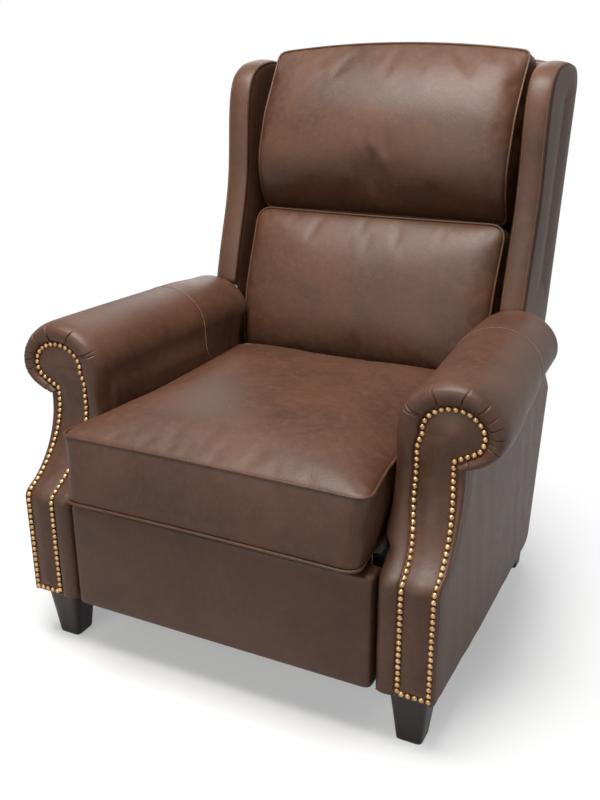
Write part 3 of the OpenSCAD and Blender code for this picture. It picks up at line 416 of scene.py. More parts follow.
def finish_from(name, group, values, bump, metallic=0.0, **shader_values):
    """A Principled material whose colour, roughness and relief come from one of the groups. Bump is the
    strength of the relief and its height in metres."""
    material = bpy.data.materials.new(name)
    material.use_nodes = True
    tree = material.node_tree
    shader = tree.nodes["Principled BSDF"]
    shader.inputs["Metallic"].default_value = metallic
    for key, value in shader_values.items():
        shader.inputs[key.replace("_", " ")].default_value = value
    effect = tree.nodes.new("ShaderNodeGroup")
    effect.node_tree = GROUPS[group]
    for key, value in values.items():
        effect.inputs[key].default_value = value
    relief = add(tree, "ShaderNodeBump", {"Strength": bump[0], "Distance": bump[1]},
                 {"Height": effect.outputs["Height"]})
    tree.links.new(effect.outputs["Color"], shader.inputs["Base Color"])
    tree.links.new(effect.outputs["Roughness"], shader.inputs["Roughness"])
    tree.links.new(relief.outputs[0], shader.inputs["Normal"])
    return material


def rgb(red, green, blue):
    """A colour written in display values from 0 to 255, as linear light."""
    c = np.array((red, green, blue)) / 255.0
    return (*np.where(c <= 0.04045, c / 12.92, ((c + 0.055) / 1.055) ** 2.4), 1.0)


def hide_finish(name, deep, main, worn, cell_scale, bump, **shader_values):
    """Leather, thread, plastic or cloth: three display colours, from the darkest to the lightest of its
    cloudy, flecked tone.
    """
    return finish_from(name, "leather", {"Deep": rgb(*deep), "Main": rgb(*main), "Worn": rgb(*worn),
                                         "Cell Scale": cell_scale}, bump, **shader_values)


def wood_finish(name, early, late, stretch, bump, **shader_values):
    """Wood in two display colours; stretch is small along its grain."""
    return finish_from(name, "wood", {"Early": rgb(*early), "Late": rgb(*late), "Stretch": stretch}, bump,
                       **shader_values)


def metal_finish(name, bright, dull, spot_scale, smoothest, relief, metallic=1.0):
    """Metal in two display colours, with the roughness of its smoothest spots."""
    return finish_from(name, "metal", {"Bright": rgb(*bright), "Dull": rgb(*dull), "Spot Scale": spot_scale,
                                       "Smoothest": smoothest}, (relief, 0.0001), metallic=metallic)


LEATHER = hide_finish("brown_leather", (65, 41, 28), (82, 53, 37), (96, 66, 48), 420.0, (0.35, 0.0006),
                      Specular_IOR_Level=0.34)
WELT = hide_finish("welt_leather", (66, 41, 28), (82, 52, 36), (102, 70, 51), 500.0, (0.3, 0.0004),
                   Specular_IOR_Level=0.3)
THREAD = hide_finish("tan_thread", (140, 108, 84), (168, 134, 106), (192, 160, 130), 1600.0, (0.3, 0.0002))
GLIDE = hide_finish("glide_plastic", (24, 24, 24), (34, 34, 34), (50, 50, 50), 900.0, (0.2, 0.0002))
DECK = hide_finish("deck_cloth", (30, 27, 26), (44, 40, 38), (60, 55, 52), 700.0, (0.6, 0.0006),
                   Sheen_Weight=0.3)
LEG_WOOD = wood_finish("espresso_wood", (36, 20, 16), (22, 12, 10), (70.0, 70.0, 6.0), (0.1, 0.0002),
                       Specular_IOR_Level=0.3, Coat_Weight=0.12, Coat_Roughness=0.25)
FRAME_WOOD = wood_finish("poplar_frame", (206, 176, 134), (176, 142, 100), (40.0, 5.0, 40.0), (0.25, 0.0004))
BRASS = metal_finish("antique_brass", (212, 176, 130), (166, 130, 90), 160.0, 0.26, 0.05)
STEEL = metal_finish("mechanism_steel", (92, 93, 96), (58, 58, 60), 30.0, 0.3, 0.1, metallic=0.9)
RIVET = metal_finish("rivet_steel", (190, 188, 180), (130, 126, 116), 80.0, 0.22, 0.05)
SPRING = metal_finish("spring_steel", (110, 112, 116), (66, 64, 62), 50.0, 0.28, 0.1)

for node_names, material in (
    (("base_side_rails", "base_rear_rail", "arm_rear_posts"), LEG_WOOD),
    (("base_front_rail", "arm_webs", "arm_front_posts", "arm_top_boards", "seat_rear_rail", "back_posts",
      "back_top_rail", "back_lower_rail", "footrest_board"), FRAME_WOOD),
    (("mechanism_base_plates", "front_swing_links", "rear_swing_links", "seat_side_plates", "back_brackets",
      "back_control_links", "footrest_front_links", "footrest_rear_links", "footrest_lower_links",
      "footrest_upper_links", "footrest_brackets"), STEEL),
    (("base_pivot_rivets", "base_plate_screws", "seat_pivot_rivets", "back_pivot_rivets",
      "footrest_link_rivets", "footrest_lower_rivets", "footrest_bracket_rivets"), RIVET),
    (("seat_springs", "back_springs"), SPRING),
    (("leg_glides",), GLIDE),
    (("seat_deck", "seat_front_rail", "seat_side_rails"), DECK),
):
    for node_name in node_names:
        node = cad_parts[node_name]
        for index in range(max(1, len(node.material_slots))):
            if len(node.material_slots) <= index:
                node.data.materials.append(material)
            node.material_slots[index].material = material


# The front of the arms: upright below the knee, a cove above it, upright again beside the roll

KNEE_Z = COVE_TOP - math.sqrt(COVE_R ** 2 - (SETBACK - COVE_R) ** 2)


def front_profile():
    """(z, y) of the arm's front: a line, a small round at the knee, an arc about the cove's centre in
    front of the arm, and a line."""
    centre = np.array((SETBACK - COVE_R, COVE_TOP))
    start = -math.acos(-centre[0] / COVE_R) + math.radians(5.0)
    corner = np.array((0.0, KNEE_Z))
    after = centre + COVE_R * np.array((math.cos(start), math.sin(start)))
    t = np.linspace(0.0, 1.0, 8)[:, None]
    round_part = (1 - t) ** 2 * (corner - (0.0, 12.0)) + 2 * t * (1 - t) * corner + t * t * after
    a = np.linspace(start, 0.0, 24)[1:, None]
    cove = centre + COVE_R * np.hstack((np.cos(a), np.sin(a)))
    line = np.vstack(([[0.0, 60.0]], round_part, cove, [[SETBACK, 640.0]]))
    return line[:, 1], line[:, 0]


FRONT_Z, FRONT_Y = front_profile()


def front_y(z):
    """Depth of the arm's front at a height, read from its profile."""
    return np.interp(z, FRONT_Z, FRONT_Y)


def neck_share(z):
    """0 at the knee and 1 at the neck under the roll."""
    return (z - KNEE_Z) / (NECK - KNEE_Z)


def outer_x(z):
    """x of the outer nails: straight, then eased in by 11 mm towards the neck."""
    return OUTER_NAILS - 11.0 * ease(neck_share(z))


def inner_x(z):
    """x of the inner nails: straight, then eased in by 18 mm."""
    return INNER_NAILS - 18.0 * ease(1.5 * neck_share(z))


def scroll_angles(count):
    """Even steps round the scroll, in radians."""
    return np.radians(np.linspace(*SCROLL_TURN, count))


def scroll_path(g, n_chord, angles):
    """(x, z) from the neck corner under the scroll, round its top to the sitter's side, g outside the nails:
    a straight line, then an ellipse whose radii both grow by g."""
    corner = np.array((outer_x(NECK) + g, NECK - g))
    arc = SCROLL + (SCROLL_R + g) * np.stack((np.cos(angles), np.sin(angles)), axis=1)
    chord = mix(corner, arc[0], np.linspace(0.0, 1.0, n_chord, endpoint=False)[:, None])
    return np.vstack((chord, arc))


def column(x_of, z0, z1, n, g):
    """(x, z) up or down a column of nails, moved g sideways."""
    z = np.linspace(z0, z1, n)
    return np.stack((x_of(z) + g, z), axis=1)


# Arm facing: the outline drawn in towards its spine, with a crown inside the rows of nails

def facing_grid():
    """Rings from the outline to the spine: point = spine + share (outline - spine). The crown rises as the
    smooth step of the distance inside the nails, to 4.5 mm in the leg of the facing and 9 mm in the scroll.
    Two more rings close it at the back."""
    outline = np.vstack((
        column(outer_x, HEM, NECK - 6.0, 70, 6.0),
        scroll_path(6.0, 16, scroll_angles(110)),
        column(inner_x, INNER_TOP, HEM, 74, -6.0),
    ))
    outline = np.vstack((softened(outline, 2), along_path([outline[-1], outline[0]], 9)[1:-1]))
    z = outline[:, 1]
    leg = np.stack((0.5 * (outer_x(z) + inner_x(z)), np.clip(z, HEM + 24.0, 480.0)), axis=1)
    up = ease((z - 455.0) / 45.0)[:, None]
    spine = softened(mix(leg, SCROLL, up), 6, closed=True)
    share = np.concatenate(([1.0, 1.0], np.linspace(0.985, 0.02, 22), [0.0]))[:, None, None]
    xz = spine + share * (outline - spine)
    reach = np.linalg.norm(outline - spine, axis=1)[None]
    inset = (1.0 - share[..., 0]) * reach
    height = mix(4.5, 9.0, up[:, 0])[None] * ease((inset - 8.0) / np.maximum(reach - 8.0, 18.0)) ** 0.8
    height = height - 2.2 * hill(inset - 5.0, 5.0) + 0.35 * ripple(3, xz[..., 0] / 30.0, xz[..., 1] / 40.0)
    height[0], height[1] = -7.0, -1.5
    points = np.stack((xz[..., 0], front_y(xz[..., 1]) - height, xz[..., 1]), axis=-1)
    return np.concatenate((points[-1:] + (0.0, 10.0, 0.0), points[:1] + (0.0, 6.0, 0.0), points))


for side, name in SIDES:
    rings = on_side(facing_grid(), side)
    face = piece(f"arm_facing_{name}_leather", rings, grid_faces(*rings.shape[:2], wrap=True), "base",
                 LEATHER, "leather")
    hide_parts(f"arm_facing_{name}")


# Nails: hammered domes at even steps of 11.4 mm or a little more round the facing

def nail_grid():
    """All the domes of one arm. Each is a cap of a sphere, whose rings lie at the angles down from its top to
    its rim, set square to the front of the arm at its height and leaning a little at random as if hammered.
    A point at each end closes it."""
    foot = HEM + 6.0
    line = np.vstack((
        column(outer_x, foot, NECK, 60, 0.0),
        scroll_path(0.0, 12, scroll_angles(80)),
        column(inner_x, INNER_TOP, foot, 60, 0.0),
        ((OUTER_NAILS, foot),)))
    line = np.column_stack((line[:, 0], front_y(line[:, 1]), line[:, 1]))
    at = along_path(line, int(running_length(line)[-1] // NAIL_PITCH) + 1)[:-1]
    hammered = np.random.default_rng(5)
    tilt = hammered.normal(0.0, 0.03, len(at))
    slope = np.arctan2(front_y(at[:, 2] + 1.0) - front_y(at[:, 2] - 1.0), 2.0) + tilt
    lean = hammered.normal(0.0, 0.03, len(at))
    out = np.stack((lean, -np.cos(slope), np.sin(slope)), axis=1)
    side = np.broadcast_to((1.0, 0.0, 0.0), out.shape)
    up = np.cross(out, side)
    rim = 1.262
    down = np.array((0.0, 0.0, 0.36, 0.72, 1.0, rim, rim))
    r = NAIL_R * np.sin(down)
    r[[0, -1]] = 0.0
    h = 0.3 + NAIL_R * (np.cos(down) - math.cos(rim))
    h[-2:] = -0.6
    sides = 14
    a = np.linspace(0.0, 2.0 * np.pi, sides, endpoint=False)[None, None, :, None]
    ring = (at[:, None, None] + h[None, :, None, None] * out[:, None, None]
            + r[None, :, None, None] * (np.cos(a) * side[:, None, None] + np.sin(a) * up[:, None, None]))
    return ring.reshape(-1, 3), repeated(grid_faces(len(down), sides, wrap=True), len(down) * sides, len(at))


for side, name in SIDES:
    points, faces = nail_grid()
    domes = piece(f"nails_{name}", on_side(points, side), faces, "base", BRASS, "antique_brass")
    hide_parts(f"nail_heads_{name}")


# Arm cover: one hide over the roll and down the sitter's side, turned round the front to the nails

# Angle of each pleat's fold at the nails and at the ridge, its depth, and the side that is folded over
PLEATS = np.array((
    (149.6, 150.5, 2.2, 1.0), (153.5, 154.6, 1.3, 1.0), (115.0, 113.7, 2.6, 1.0), (79.5, 74.9, 2.6, -1.0),
    (51.7, 47.2, 2.6, -1.0), (32.0, 33.0, 0.9, 1.0), (19.4, 20.5, 1.9, 1.0), (7.3, 6.7, 1.7, 1.0),
    (-3.0, -6.0, 0.9, -1.0), (-14.8, -20.0, 1.9, -1.0), (-62.0, -66.0, 2.4, 1.0)))


def angles_beside_pleats():
    """Angles round the scroll: even steps, with finer ones beside each pleat."""
    even = np.linspace(*SCROLL_TURN, 132)
    on_scroll = PLEATS[PLEATS[:, 0] > SCROLL_TURN[0], 0]
    beside = np.array((0.4, 0.8, 1.2, 1.7, 2.4, 3.4, 5.0))
    beside = np.concatenate((-beside[::-1], (0.0,), beside))
    near = (on_scroll[:, None] + beside[None]).ravel()
    return np.radians(np.unique(np.round(np.concatenate((even, near)), 2)))


def roll_centre(y):
    """x of the roll's centre and its radius at a depth: from the front to the rear by a smooth step."""
    t = ease((y - SETBACK) / (ROLL_END - SETBACK))
    return mix(ROLL_X, ROLL_REAR_X, t), mix(ROLL_R, ROLL_REAR_R, t)


def roll_section(y, angle):
    """(x, z) on the roll at a depth and an angle round its centre: a circle that is fuller on the sitter's
    side and flatter under the outer lip, moving inwards and thinning towards the wing."""
    centre, r = roll_centre(y)
    x = centre + (r + 10.0 * ease(-3.0 * np.cos(angle))) * np.cos(angle)
    z = ROLL_Z + np.where(angle < 0.0, ROLL_LIP, r - 9.0 * ease((y - 470.0) / 140.0)) * np.sin(angle)
    return x, z


def inner_face(y, z):
    """x of the sitter's side: the upright liner, padded out above the seat frame and behind the front edge,
    where the hide still stands a little proud."""
    padding = mix(ARM_IN - FACE_FRONT, ARM_IN - FACE_REAR, ease((y - SETBACK) / 326.0))
    above = ease((z - PAD_Z + 2.0) / 18.0)
    behind = ease((y - front_y(z) + 2.0) / 32.0) * (1.0 - ease((y - 574.0) / 22.0))
    edge = 3.5 * ease((y - front_y(z) + 4.0) / 20.0) * (1.0 - ease((y - 300.0) / 200.0))
    return ARM_IN - edge - (padding - edge) * above * behind


# From the nails to where the front edge meets the roll: share of the way out, and depth behind the
# front of the arm, round the thick edge of the roll and round the thin band beside the leg
EDGE_SHARE = (0.0, 0.01, 0.06, 0.16, 0.3, 0.45, 0.6, 0.74, 0.85, 0.93, 0.975, 0.995, 1.0)
ROLL_EDGE = (5.0, 1.0, -3.0, -6.0, -7.8, -8.6, -8.2, -6.2, -2.2, 4.6, 12.5, 19.5, 30.0)
BAND_EDGE = (5.0, 1.5, -1.0, -2.8, -3.8, -4.0, -3.4, -1.4, 2.4, 7.6, 12.0, 16.0, 20.0)


def pleats_pushed(degrees, over, on_scroll):
    """How far the pleats push the hide: for each a bell-shaped groove, and a raised fold beside it that
    dies away to one side."""
    strength = ease((over - 0.03) / 0.1) * (1.0 - ease((over - 0.8) / 0.19)) * on_scroll
    push = np.zeros(on_scroll.shape)
    for at_nails, at_ridge, deep, folded in PLEATS:
        middle = mix(at_nails, at_ridge, ease(over)) + 0.7 * np.sin(7.0 * over + at_nails)
        d = np.radians(degrees[None] - middle) * mix(54.0, 82.0, over) * folded
        fold = hill(d, 0.85 + 0.5 * (1.0 - over)) - 0.42 * np.exp(-np.maximum(d, 0.0) / 4.5) * ease(d / 1.8)
        push = push - strength * deep * fold
    return push


def arm_cover_grid():
    """Columns run round the section from the outer lip to the hem; rows run from the nail line, over the
    rolled front edge, to the rear. Pleats, a seam groove, slow waves and a swell behind the edge are added
    along the normals. Also gives the line of the seam and its normals."""
    scroll = angles_beside_pleats()
    n_chord, n_arc, n_leg = 30, len(scroll), 90
    round_roll = n_chord + n_arc
    inner = np.vstack((scroll_path(4.6, n_chord, scroll), column(inner_x, INNER_TOP, HEM, n_leg, -4.6)))
    inner = softened(inner, 2)
    degrees = np.concatenate((
        np.linspace(-74.0, -45.0, n_chord, endpoint=False),
        np.interp(np.degrees(scroll), (-35.0, 0.0, 150.0, 190.0), (-45.0, 0.0, 150.0, 180.0)),
        np.full(n_leg, 180.0)))
    angle = np.radians(degrees)
    leg_z = np.concatenate((np.full(round_roll, ROLL_Z), inner[-n_leg:, 1]))
    on_leg = ease((ROLL_Z - 6.0 - leg_z) / 44.0)
    on_roll = 1.0 - ease((ROLL_Z - 14.0 - leg_z) / 60.0)

    def outer(y):
        x, z = roll_section(y, angle)
        z = np.where(np.arange(len(angle)) >= round_roll, leg_z, z)
        return np.stack(np.broadcast_arrays(mix(x, inner_face(y, z), on_leg), z), axis=-1)

    fine = np.linspace(0.0, 12.0, 37)
    share, thick, thin = (softened(np.interp(fine, np.arange(13.0), v), 2)
                          for v in (EDGE_SHARE, ROLL_EDGE, BAND_EDGE))
    depth = mix(thin[:, None], thick[:, None], on_roll[None])
    far = outer(front_y(inner[:, 1]) + 20.0)
    xz = inner[None] + share[:, None, None] * (far - inner)[None]
    edge_y = front_y(mix(inner[:, 1], far[:, 1], 0.5))[None] + depth
    front = np.dstack((xz[..., 0], edge_y, xz[..., 1]))

    start = front[-1, :, 1]
    end = mix(arm_rear(leg_z) - 3.0, ROLL_END, on_roll)
    closing = np.array(((0.975, 0.99), (0.99, 0.95), (0.998, 0.86), (1.0, 0.6), (1.0, 0.05)))
    step = np.concatenate((np.linspace(0.0, 0.24, 15)[1:], np.linspace(0.24, 0.955, 44)[1:], closing[:, 0]))
    shrink = np.concatenate((np.ones(len(step) - len(closing)), closing[:, 1]))
    y = mix(start, end, step[:, None])
    middle = np.array((ROLL_REAR_X, ROLL_Z))
    ring = middle + mix(1.0, shrink[:, None], on_roll)[..., None] * (outer(y) - middle)
    points = np.concatenate((front, np.dstack((ring[..., 0], y, ring[..., 1]))))

    out = surface_normals(points)
    centre = np.array((350.0, 320.0, 400.0))
    if (out * (points - centre)).sum() < 0:
        out = -out
    behind = np.maximum(points[..., 1] - front_y(points[..., 2]), 0.0)
    over = np.concatenate((share, np.ones(len(step))))[:, None]
    push = pleats_pushed(degrees, over, (behind < 40.0) * on_roll[None])
    seam = ease((points[..., 2] - 470.0) / 30.0) * hill(points[..., 1] - ROLL_SEAM_Y, 1.6)
    soft = 0.5 * ripple(11, points[..., 1] / 90.0, points[..., 2] / 60.0, points[..., 0] / 60.0)
    swell_behind = 1.2 * on_roll[None] * hill(behind - 60.0, 60.0)
    points = points + out * (push - 1.6 * seam + (soft + swell_behind) * ease(over * 2.0 - 1.0))[..., None]
    row = int(np.argmin(np.abs(points[:, n_chord + 80, 1] - ROLL_SEAM_Y)))
    stitched = slice(6, round_roll + 10)
    return points, points[row, stitched], out[row, stitched]


def arm_rear(z):
    """Depth of the arm panels' rear edge, which leans back with the chair's back up to a height, and above
    it comes forward as fast as it climbs."""
    line = REAR_FOOT + (z - HEM) * math.tan(LEAN)
    return np.minimum(line, REAR_FOOT + (REAR_TURN - HEM) * math.tan(LEAN) - (z - REAR_TURN))


for side, name in SIDES:
    cover, line, outward = (on_side(part, side) for part in arm_cover_grid())
    hide = piece(f"arm_cover_{name}", cover, grid_faces(*cover.shape[:2]), "base", LEATHER, "leather",
                 inside=(side * 350.0, 320.0, 380.0))
    thickened(hide, 0.0022)
    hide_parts(f"arm_roll_{name}", f"inside_arm_{name}")
    beside = line + outward * 0.6 + (0.0, 3.0, 0.0)
    piece(f"arm_roll_stitches_{name}", *stitches(beside, outward, 4.6, 3.9, 0.8), "base", THREAD, "leather")


# Outside of the arm: a padded panel with a rolled front edge, turned round the rear edge to the liner

def outside_panel_grid():
    """Rows climb from the hem to under the roll's lip. Columns follow a profile of (depth, x) pairs: from
    beside the nails across a narrow front strip, round the corner, over a seam groove and across the field,
    and round the rear edge to the liner. The field is padded out by slow waves, and its lowest rows are
    tucked in."""
    strip_x, face_x = 398.2, 403.2
    z = np.concatenate(((HEM + 4.0, HEM + 1.2, HEM), np.linspace(HEM + 2.0, 485.0, 80)))[:, None]
    tuck = np.concatenate(((5.0, 2.4, 0.8), np.zeros(80)))[:, None]
    front = front_y(z) + 0.2 * tuck
    rear = arm_rear(z) - 9.0 * np.clip(1.0 - (z - HEM) / 9.0, 0.0, 1.0) ** 1.5
    start = outer_x(z) + 4.4
    strip = np.linspace(0.0, 1.0, 9)[None]
    hollow = np.sin(np.pi * np.minimum(strip, 0.55) / 1.1) * ease((strip_x - start) / 4.0 + 0.6)
    strip_y = front + 2.8 - 3.6 * hollow
    corner = quarter(10)[None, 1:]
    corner_y = strip_y[:, -1:] + 5.4 * (1.0 - np.cos(corner))
    field = np.linspace(0.0, 1.0, 70)[None, 1:-1] ** 1.25
    rim = quarter(8)[None]
    liner = np.linspace(380.0, 303.0, 5)[None]
    y = np.hstack((strip_y, corner_y, mix(corner_y[:, -1:] + 1.5, rear - 7.0, field),
                   rear - 6.0 + 6.0 * np.sin(rim), np.repeat(rear - 0.5, liner.size, axis=1)))
    parts = (mix(start, strip_x, strip), strip_x + 5.0 * np.sin(corner), np.full_like(field, face_x),
             face_x - 6.8 + 6.0 * np.cos(rim), liner)
    x = np.hstack([np.broadcast_to(part, (len(z), part.shape[1])) for part in parts])
    behind = y - front
    x = x - tuck * (x > 396.0) - 1.8 * hill(behind - 11.5, 1.8) * (x > 400.0)
    inside = ease((behind - 14.0) / 26.0) * ease((rear - 8.0 - y) / 26.0) * (x > 400.0)
    x = x + inside * (1.4 + 0.55 * ripple(21, y / 60.0, z / 300.0) + 0.35 * ripple(22, y / 150.0, z / 110.0))
    x = x + 3.5 * ease((behind - 20.0) / 220.0) * (x > 380.0)
    return np.dstack(np.broadcast_arrays(x, y, z))


def roll_lip(y, x=402.6):
    """Where the roll's outer lip passes a given x: the angle whose cosine is that reach over the radius."""
    centre, r = roll_centre(y)
    c = (x - centre) / r
    return np.stack((np.full_like(y, x), y, ROLL_Z - ROLL_LIP * np.sqrt(1.0 - c * c)), axis=1)


def front_hem():
    """The cord along the lower edge of the arm: across the front a little behind its face, round the
    corner, and back along the outside."""
    across, turn, back = 24, np.linspace(0.1, 1.57, 6), 60
    x = np.concatenate((np.linspace(304.0, 398.0, across), 398.0 + 3.0 * np.sin(turn), np.full(back, 401.0)))
    y = np.concatenate((np.full(across, 2.2), 5.2 - 3.0 * np.cos(turn), np.linspace(8.0, 596.0, back)))
    z = HEM + 0.4 + 2.0 * ease((308.0 - x) / 6.0)
    return np.stack((x, y, z), axis=1)


for side, name in SIDES:
    panel = on_side(outside_panel_grid(), side)
    made = piece(f"outside_arm_{name}_leather", panel, grid_faces(*panel.shape[:2]), "base", LEATHER,
                 "leather", inside=(side * 350.0, 320.0, 300.0))
    thickened(made, 0.003)
    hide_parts(f"outside_arm_{name}")
    cords = [tube(softened(roll_lip(np.linspace(108.0, 590.0, 90)), 2), 1.9), tube(front_hem(), 2.3)]
    cords = [(on_side(points, side), faces) for points, faces in cords]
    piece(f"arm_welts_{name}", *joined(cords), "base", WELT, "leather")


# Wings: a closed pad with a front band between two seams

# Its outline, as depth before the outside back and height up the slope: the hem, the front edge and top,
# and the rear edge
WING_HEM = np.array(((0.0, 250.0), (93.0, 259.0), (190.0, 268.0)))
WING_EDGE = np.array((
    (190.0, 268.0), (186.0, 336.0), (181.0, 384.0), (175.5, 433.0), (172.5, 482.0), (175.0, 529.0),
    (182.5, 584.0), (190.5, 636.0), (193.0, 684.0), (185.0, 722.0), (155.0, 750.0), (100.0, 770.0),
    (45.0, 777.0), (16.0, 772.0), (2.0, 756.0)))
WING_REAR = np.array(((0.0, 753.0), (0.0, 252.0)))
WING_IN, WING_OUT = 303.4, 354.0


def wing_grid():
    """Rings about a spine in the (depth, height) plane. Across the thickness each ring goes from the middle
    of the inner face to its seam, over the crowned band to the outer seam, and to the middle of the outer
    face: point = spine + share (outline - spine). Also gives the two rows where the stitches lie, and the
    direction away from the spine there."""
    parts = (along_path(WING_HEM, 26), softened(along_path(WING_EDGE, 90), 4), along_path(WING_REAR, 60))
    outline = softened(np.vstack([part[:-1] for part in parts]), 2, closed=True)
    spine = np.stack((np.full(len(outline), 88.0), np.clip(outline[:, 1], 345.0, 705.0)), axis=1)
    spine = softened(spine, 8, closed=True)
    front = softened(np.concatenate((np.zeros(12), np.ones(102), np.zeros(59))), 8, closed=True)
    out_to_seam = np.array((0.0, 0.25, 0.5, 0.7, 0.85, 0.93, 0.97, 0.985))
    n_face, n_band = len(out_to_seam), 13
    share = np.concatenate((out_to_seam, np.ones(n_band), out_to_seam[::-1]))
    across = np.concatenate((np.zeros(n_face), np.linspace(0.0, 1.0, n_band), np.ones(n_face)))
    on_outer = across == 1.0
    band = np.sin(np.pi * across) ** 0.6 * (share >= 1.0)
    seam = np.zeros(len(share))
    seam[[n_face, n_face + n_band - 1]] = 1.0
    reach = (outline - spine) / np.linalg.norm(outline - spine, axis=1, keepdims=True)
    crown = 6.0 * band[:, None] * mix(0.55, 1.0, front)[None] - 1.6 * seam[:, None]
    flat = spine[None] + share[:, None, None] * (outline - spine)[None] + reach[None] * crown[..., None]
    toward_rear = 1.0 - np.clip(flat[..., 0] / 180.0, 0.0, 1.0)
    rim = ease((share - 0.9) / 0.1) * (share < 1.0)
    x = mix(WING_IN, WING_OUT, across) + 1.2 * on_outer * ease(3.0 * share - 2.0)
    x = (x + rim * mix(1.2, -1.2, across))[:, None]
    x = x + (np.sin(np.pi * share) * on_outer)[:, None] * mix(3.0, 7.0, toward_rear)
    x = x + 6.0 * across[:, None] * ease(1.2 * toward_rear)
    points = on_back(flat[..., 0], x, flat[..., 1])

    edge, out = outline[14:112], reach[14:112]
    at_edge = on_back(edge[:, 0], WING_IN, edge[:, 1])
    away = on_back(edge[:, 0] + out[:, 0], WING_IN, edge[:, 1] + out[:, 1]) - at_edge
    inner, outer = (on_back(edge[:, 0] + 0.4, x, edge[:, 1]) + away * 3.4 for x in (WING_IN, WING_OUT))
    return points, inner + (5.0, 0.0, 0.0), outer - (5.0, 0.0, 0.0), away


for side, name in SIDES:
    rings, inner, outer, away = (on_side(part, side) for part in wing_grid())
    wing = piece(f"wing_{name}_leather", rings, grid_faces(*rings.shape[:2], wrap=True), "back", LEATHER,
                 "leather")
    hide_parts(f"wing_{name}")
    piece(f"wing_stitches_{name}", *joined([stitches(inner, away), stitches(outer, away)]), "back", THREAD,
          "leather")


# Outside of the back: an arched padded panel, narrow between the arms, with its flaps round the posts

def outside_back_grid():
    """Rows climb the slope and columns cross it; the half width is that between the arms at the foot and
    the full width between the wings above. The edge is turned forward as a quarter round."""
    near_foot, near_top = (0.0, 1.0, 3.0), (BACK_LEN - 3.0, BACK_LEN - 0.5, BACK_LEN)
    s = np.concatenate((near_foot, np.linspace(8.0, BACK_LEN - 8.0, 70), near_top))[:, None]
    u = np.concatenate(((-1.0, -0.998, -0.99), np.linspace(-0.975, 0.975, 60), (0.99, 0.998, 1.0)))[None]
    half = mix(281.0, BACK_HALF, ease((s - 248.0) / 16.0))
    rise = BACK_ARCH * (1.0 - (u * half / BACK_HALF) ** 2) * (s / BACK_LEN) ** 8
    edge = np.minimum(np.minimum((1.0 - np.abs(u)) * half, s), np.maximum(BACK_LEN - s, 0.0))
    depth = 6.0 - 8.0 * np.sqrt(np.clip(edge / 7.0, 0.0, 1.0))
    depth = depth - ease((edge - 8.0) / 60.0) * (3.0 + 0.8 * ripple(31, u * 5.0, s / 150.0))
    return on_back(depth, u * half, s + rise)


back_panel = outside_back_grid()
made = piece("outside_back_leather", back_panel, grid_faces(*back_panel.shape[:2]), "back", LEATHER,
             "leather", inside=(0.0, 500.0, 600.0))
thickened(made, 0.004)
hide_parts("outside_back")


# Lining of the back: over the front of the frame behind the pillows, and over its top

def lining_grid():
    """Columns cross the back between the wings; rows climb the front of the frame and turn over its top,
    which follows the arch, to the outside back."""
    n_climb, n_turn = 30, 9
    x = np.linspace(-BACK_HALF, BACK_HALF, 41)[None]
    top = BACK_LEN - 5.0 + BACK_ARCH * (1.0 - (x / BACK_HALF) ** 2)
    climb = np.concatenate((np.linspace(0.0, 1.0, n_climb), np.ones(n_turn)))[:, None]
    turn = np.concatenate((np.zeros(n_climb), np.linspace(0.0, 1.0, n_turn)))[:, None]
    a = np.pi / 2.0 * np.minimum(turn * 4.0, 1.0)
    slope = mix(92.0, top - 8.0, climb) + 8.0 * np.sin(a)
    depth = FRAME_FACE - 0.2 - 8.0 * (1.0 - np.cos(a)) - 56.0 * np.maximum(turn - 0.25, 0.0)
    return on_back(depth, x, slope)


def side_flap_grid():
    """A sheet that hangs below each wing along the side of the back: rows climb from beside the lower
    rail to inside the wing's hem, columns run forward, with a slow wave that dies away towards the hem."""
    slope = np.linspace(96.0, 300.0, 40)[:, None]
    depth = np.linspace(6.0, 193.0, 34)[None]
    x = 298.0 + 1.6 * np.sin(slope / 17.0 + depth / 60.0) * ease((300.0 - slope) / 60.0)
    return on_back(depth, x, slope)


for side, name in SIDES:
    flap = on_side(side_flap_grid(), side)
    cloth = piece(f"back_side_flap_{name}", flap, grid_faces(*flap.shape[:2]), "back", LEATHER, "leather",
                  inside=(0.0, 740.0, 500.0))

lining = lining_grid()
piece("back_lining_leather", lining, grid_faces(*lining.shape[:2]), "back", LEATHER, "leather",
      inside=(0.0, 900.0, 500.0))


# Cushions: a block of square faces drawn into a rounded, crowned cushion, then swelled as cloth

def block(nx, ny, nz):
    """The skin of a block of nx by ny by nz squares: its corners as whole numbers, in sorted order, its
    four-sided faces, and each corner's place across, along and up it: from -1 to 1, -1 to 1 and 0 to 1."""
    parts = []
    for axis, (n, m) in enumerate(((ny, nz), (nz, nx), (nx, ny))):
        a, b = np.meshgrid(np.arange(n + 1), np.arange(m + 1), indexing="ij")
        for level in (0, (nx, ny, nz)[axis]):
            p = np.zeros((a.size, 3))
            p[:, axis] = level
            p[:, (axis + 1) % 3] = a.ravel()
            p[:, (axis + 2) % 3] = b.ravel()
            f = grid_faces(n + 1, m + 1)
            parts.append((p, f if level else f[:, ::-1]))
    points, faces = joined(parts)
    keys, back = np.unique(np.rint(points).astype(int), axis=0, return_inverse=True)
    u, v, w = 2.0 * keys[:, 0] / nx - 1.0, 2.0 * keys[:, 1] / ny - 1.0, keys[:, 2] / nz
    return keys, back.ravel()[faces], (u, v, w)


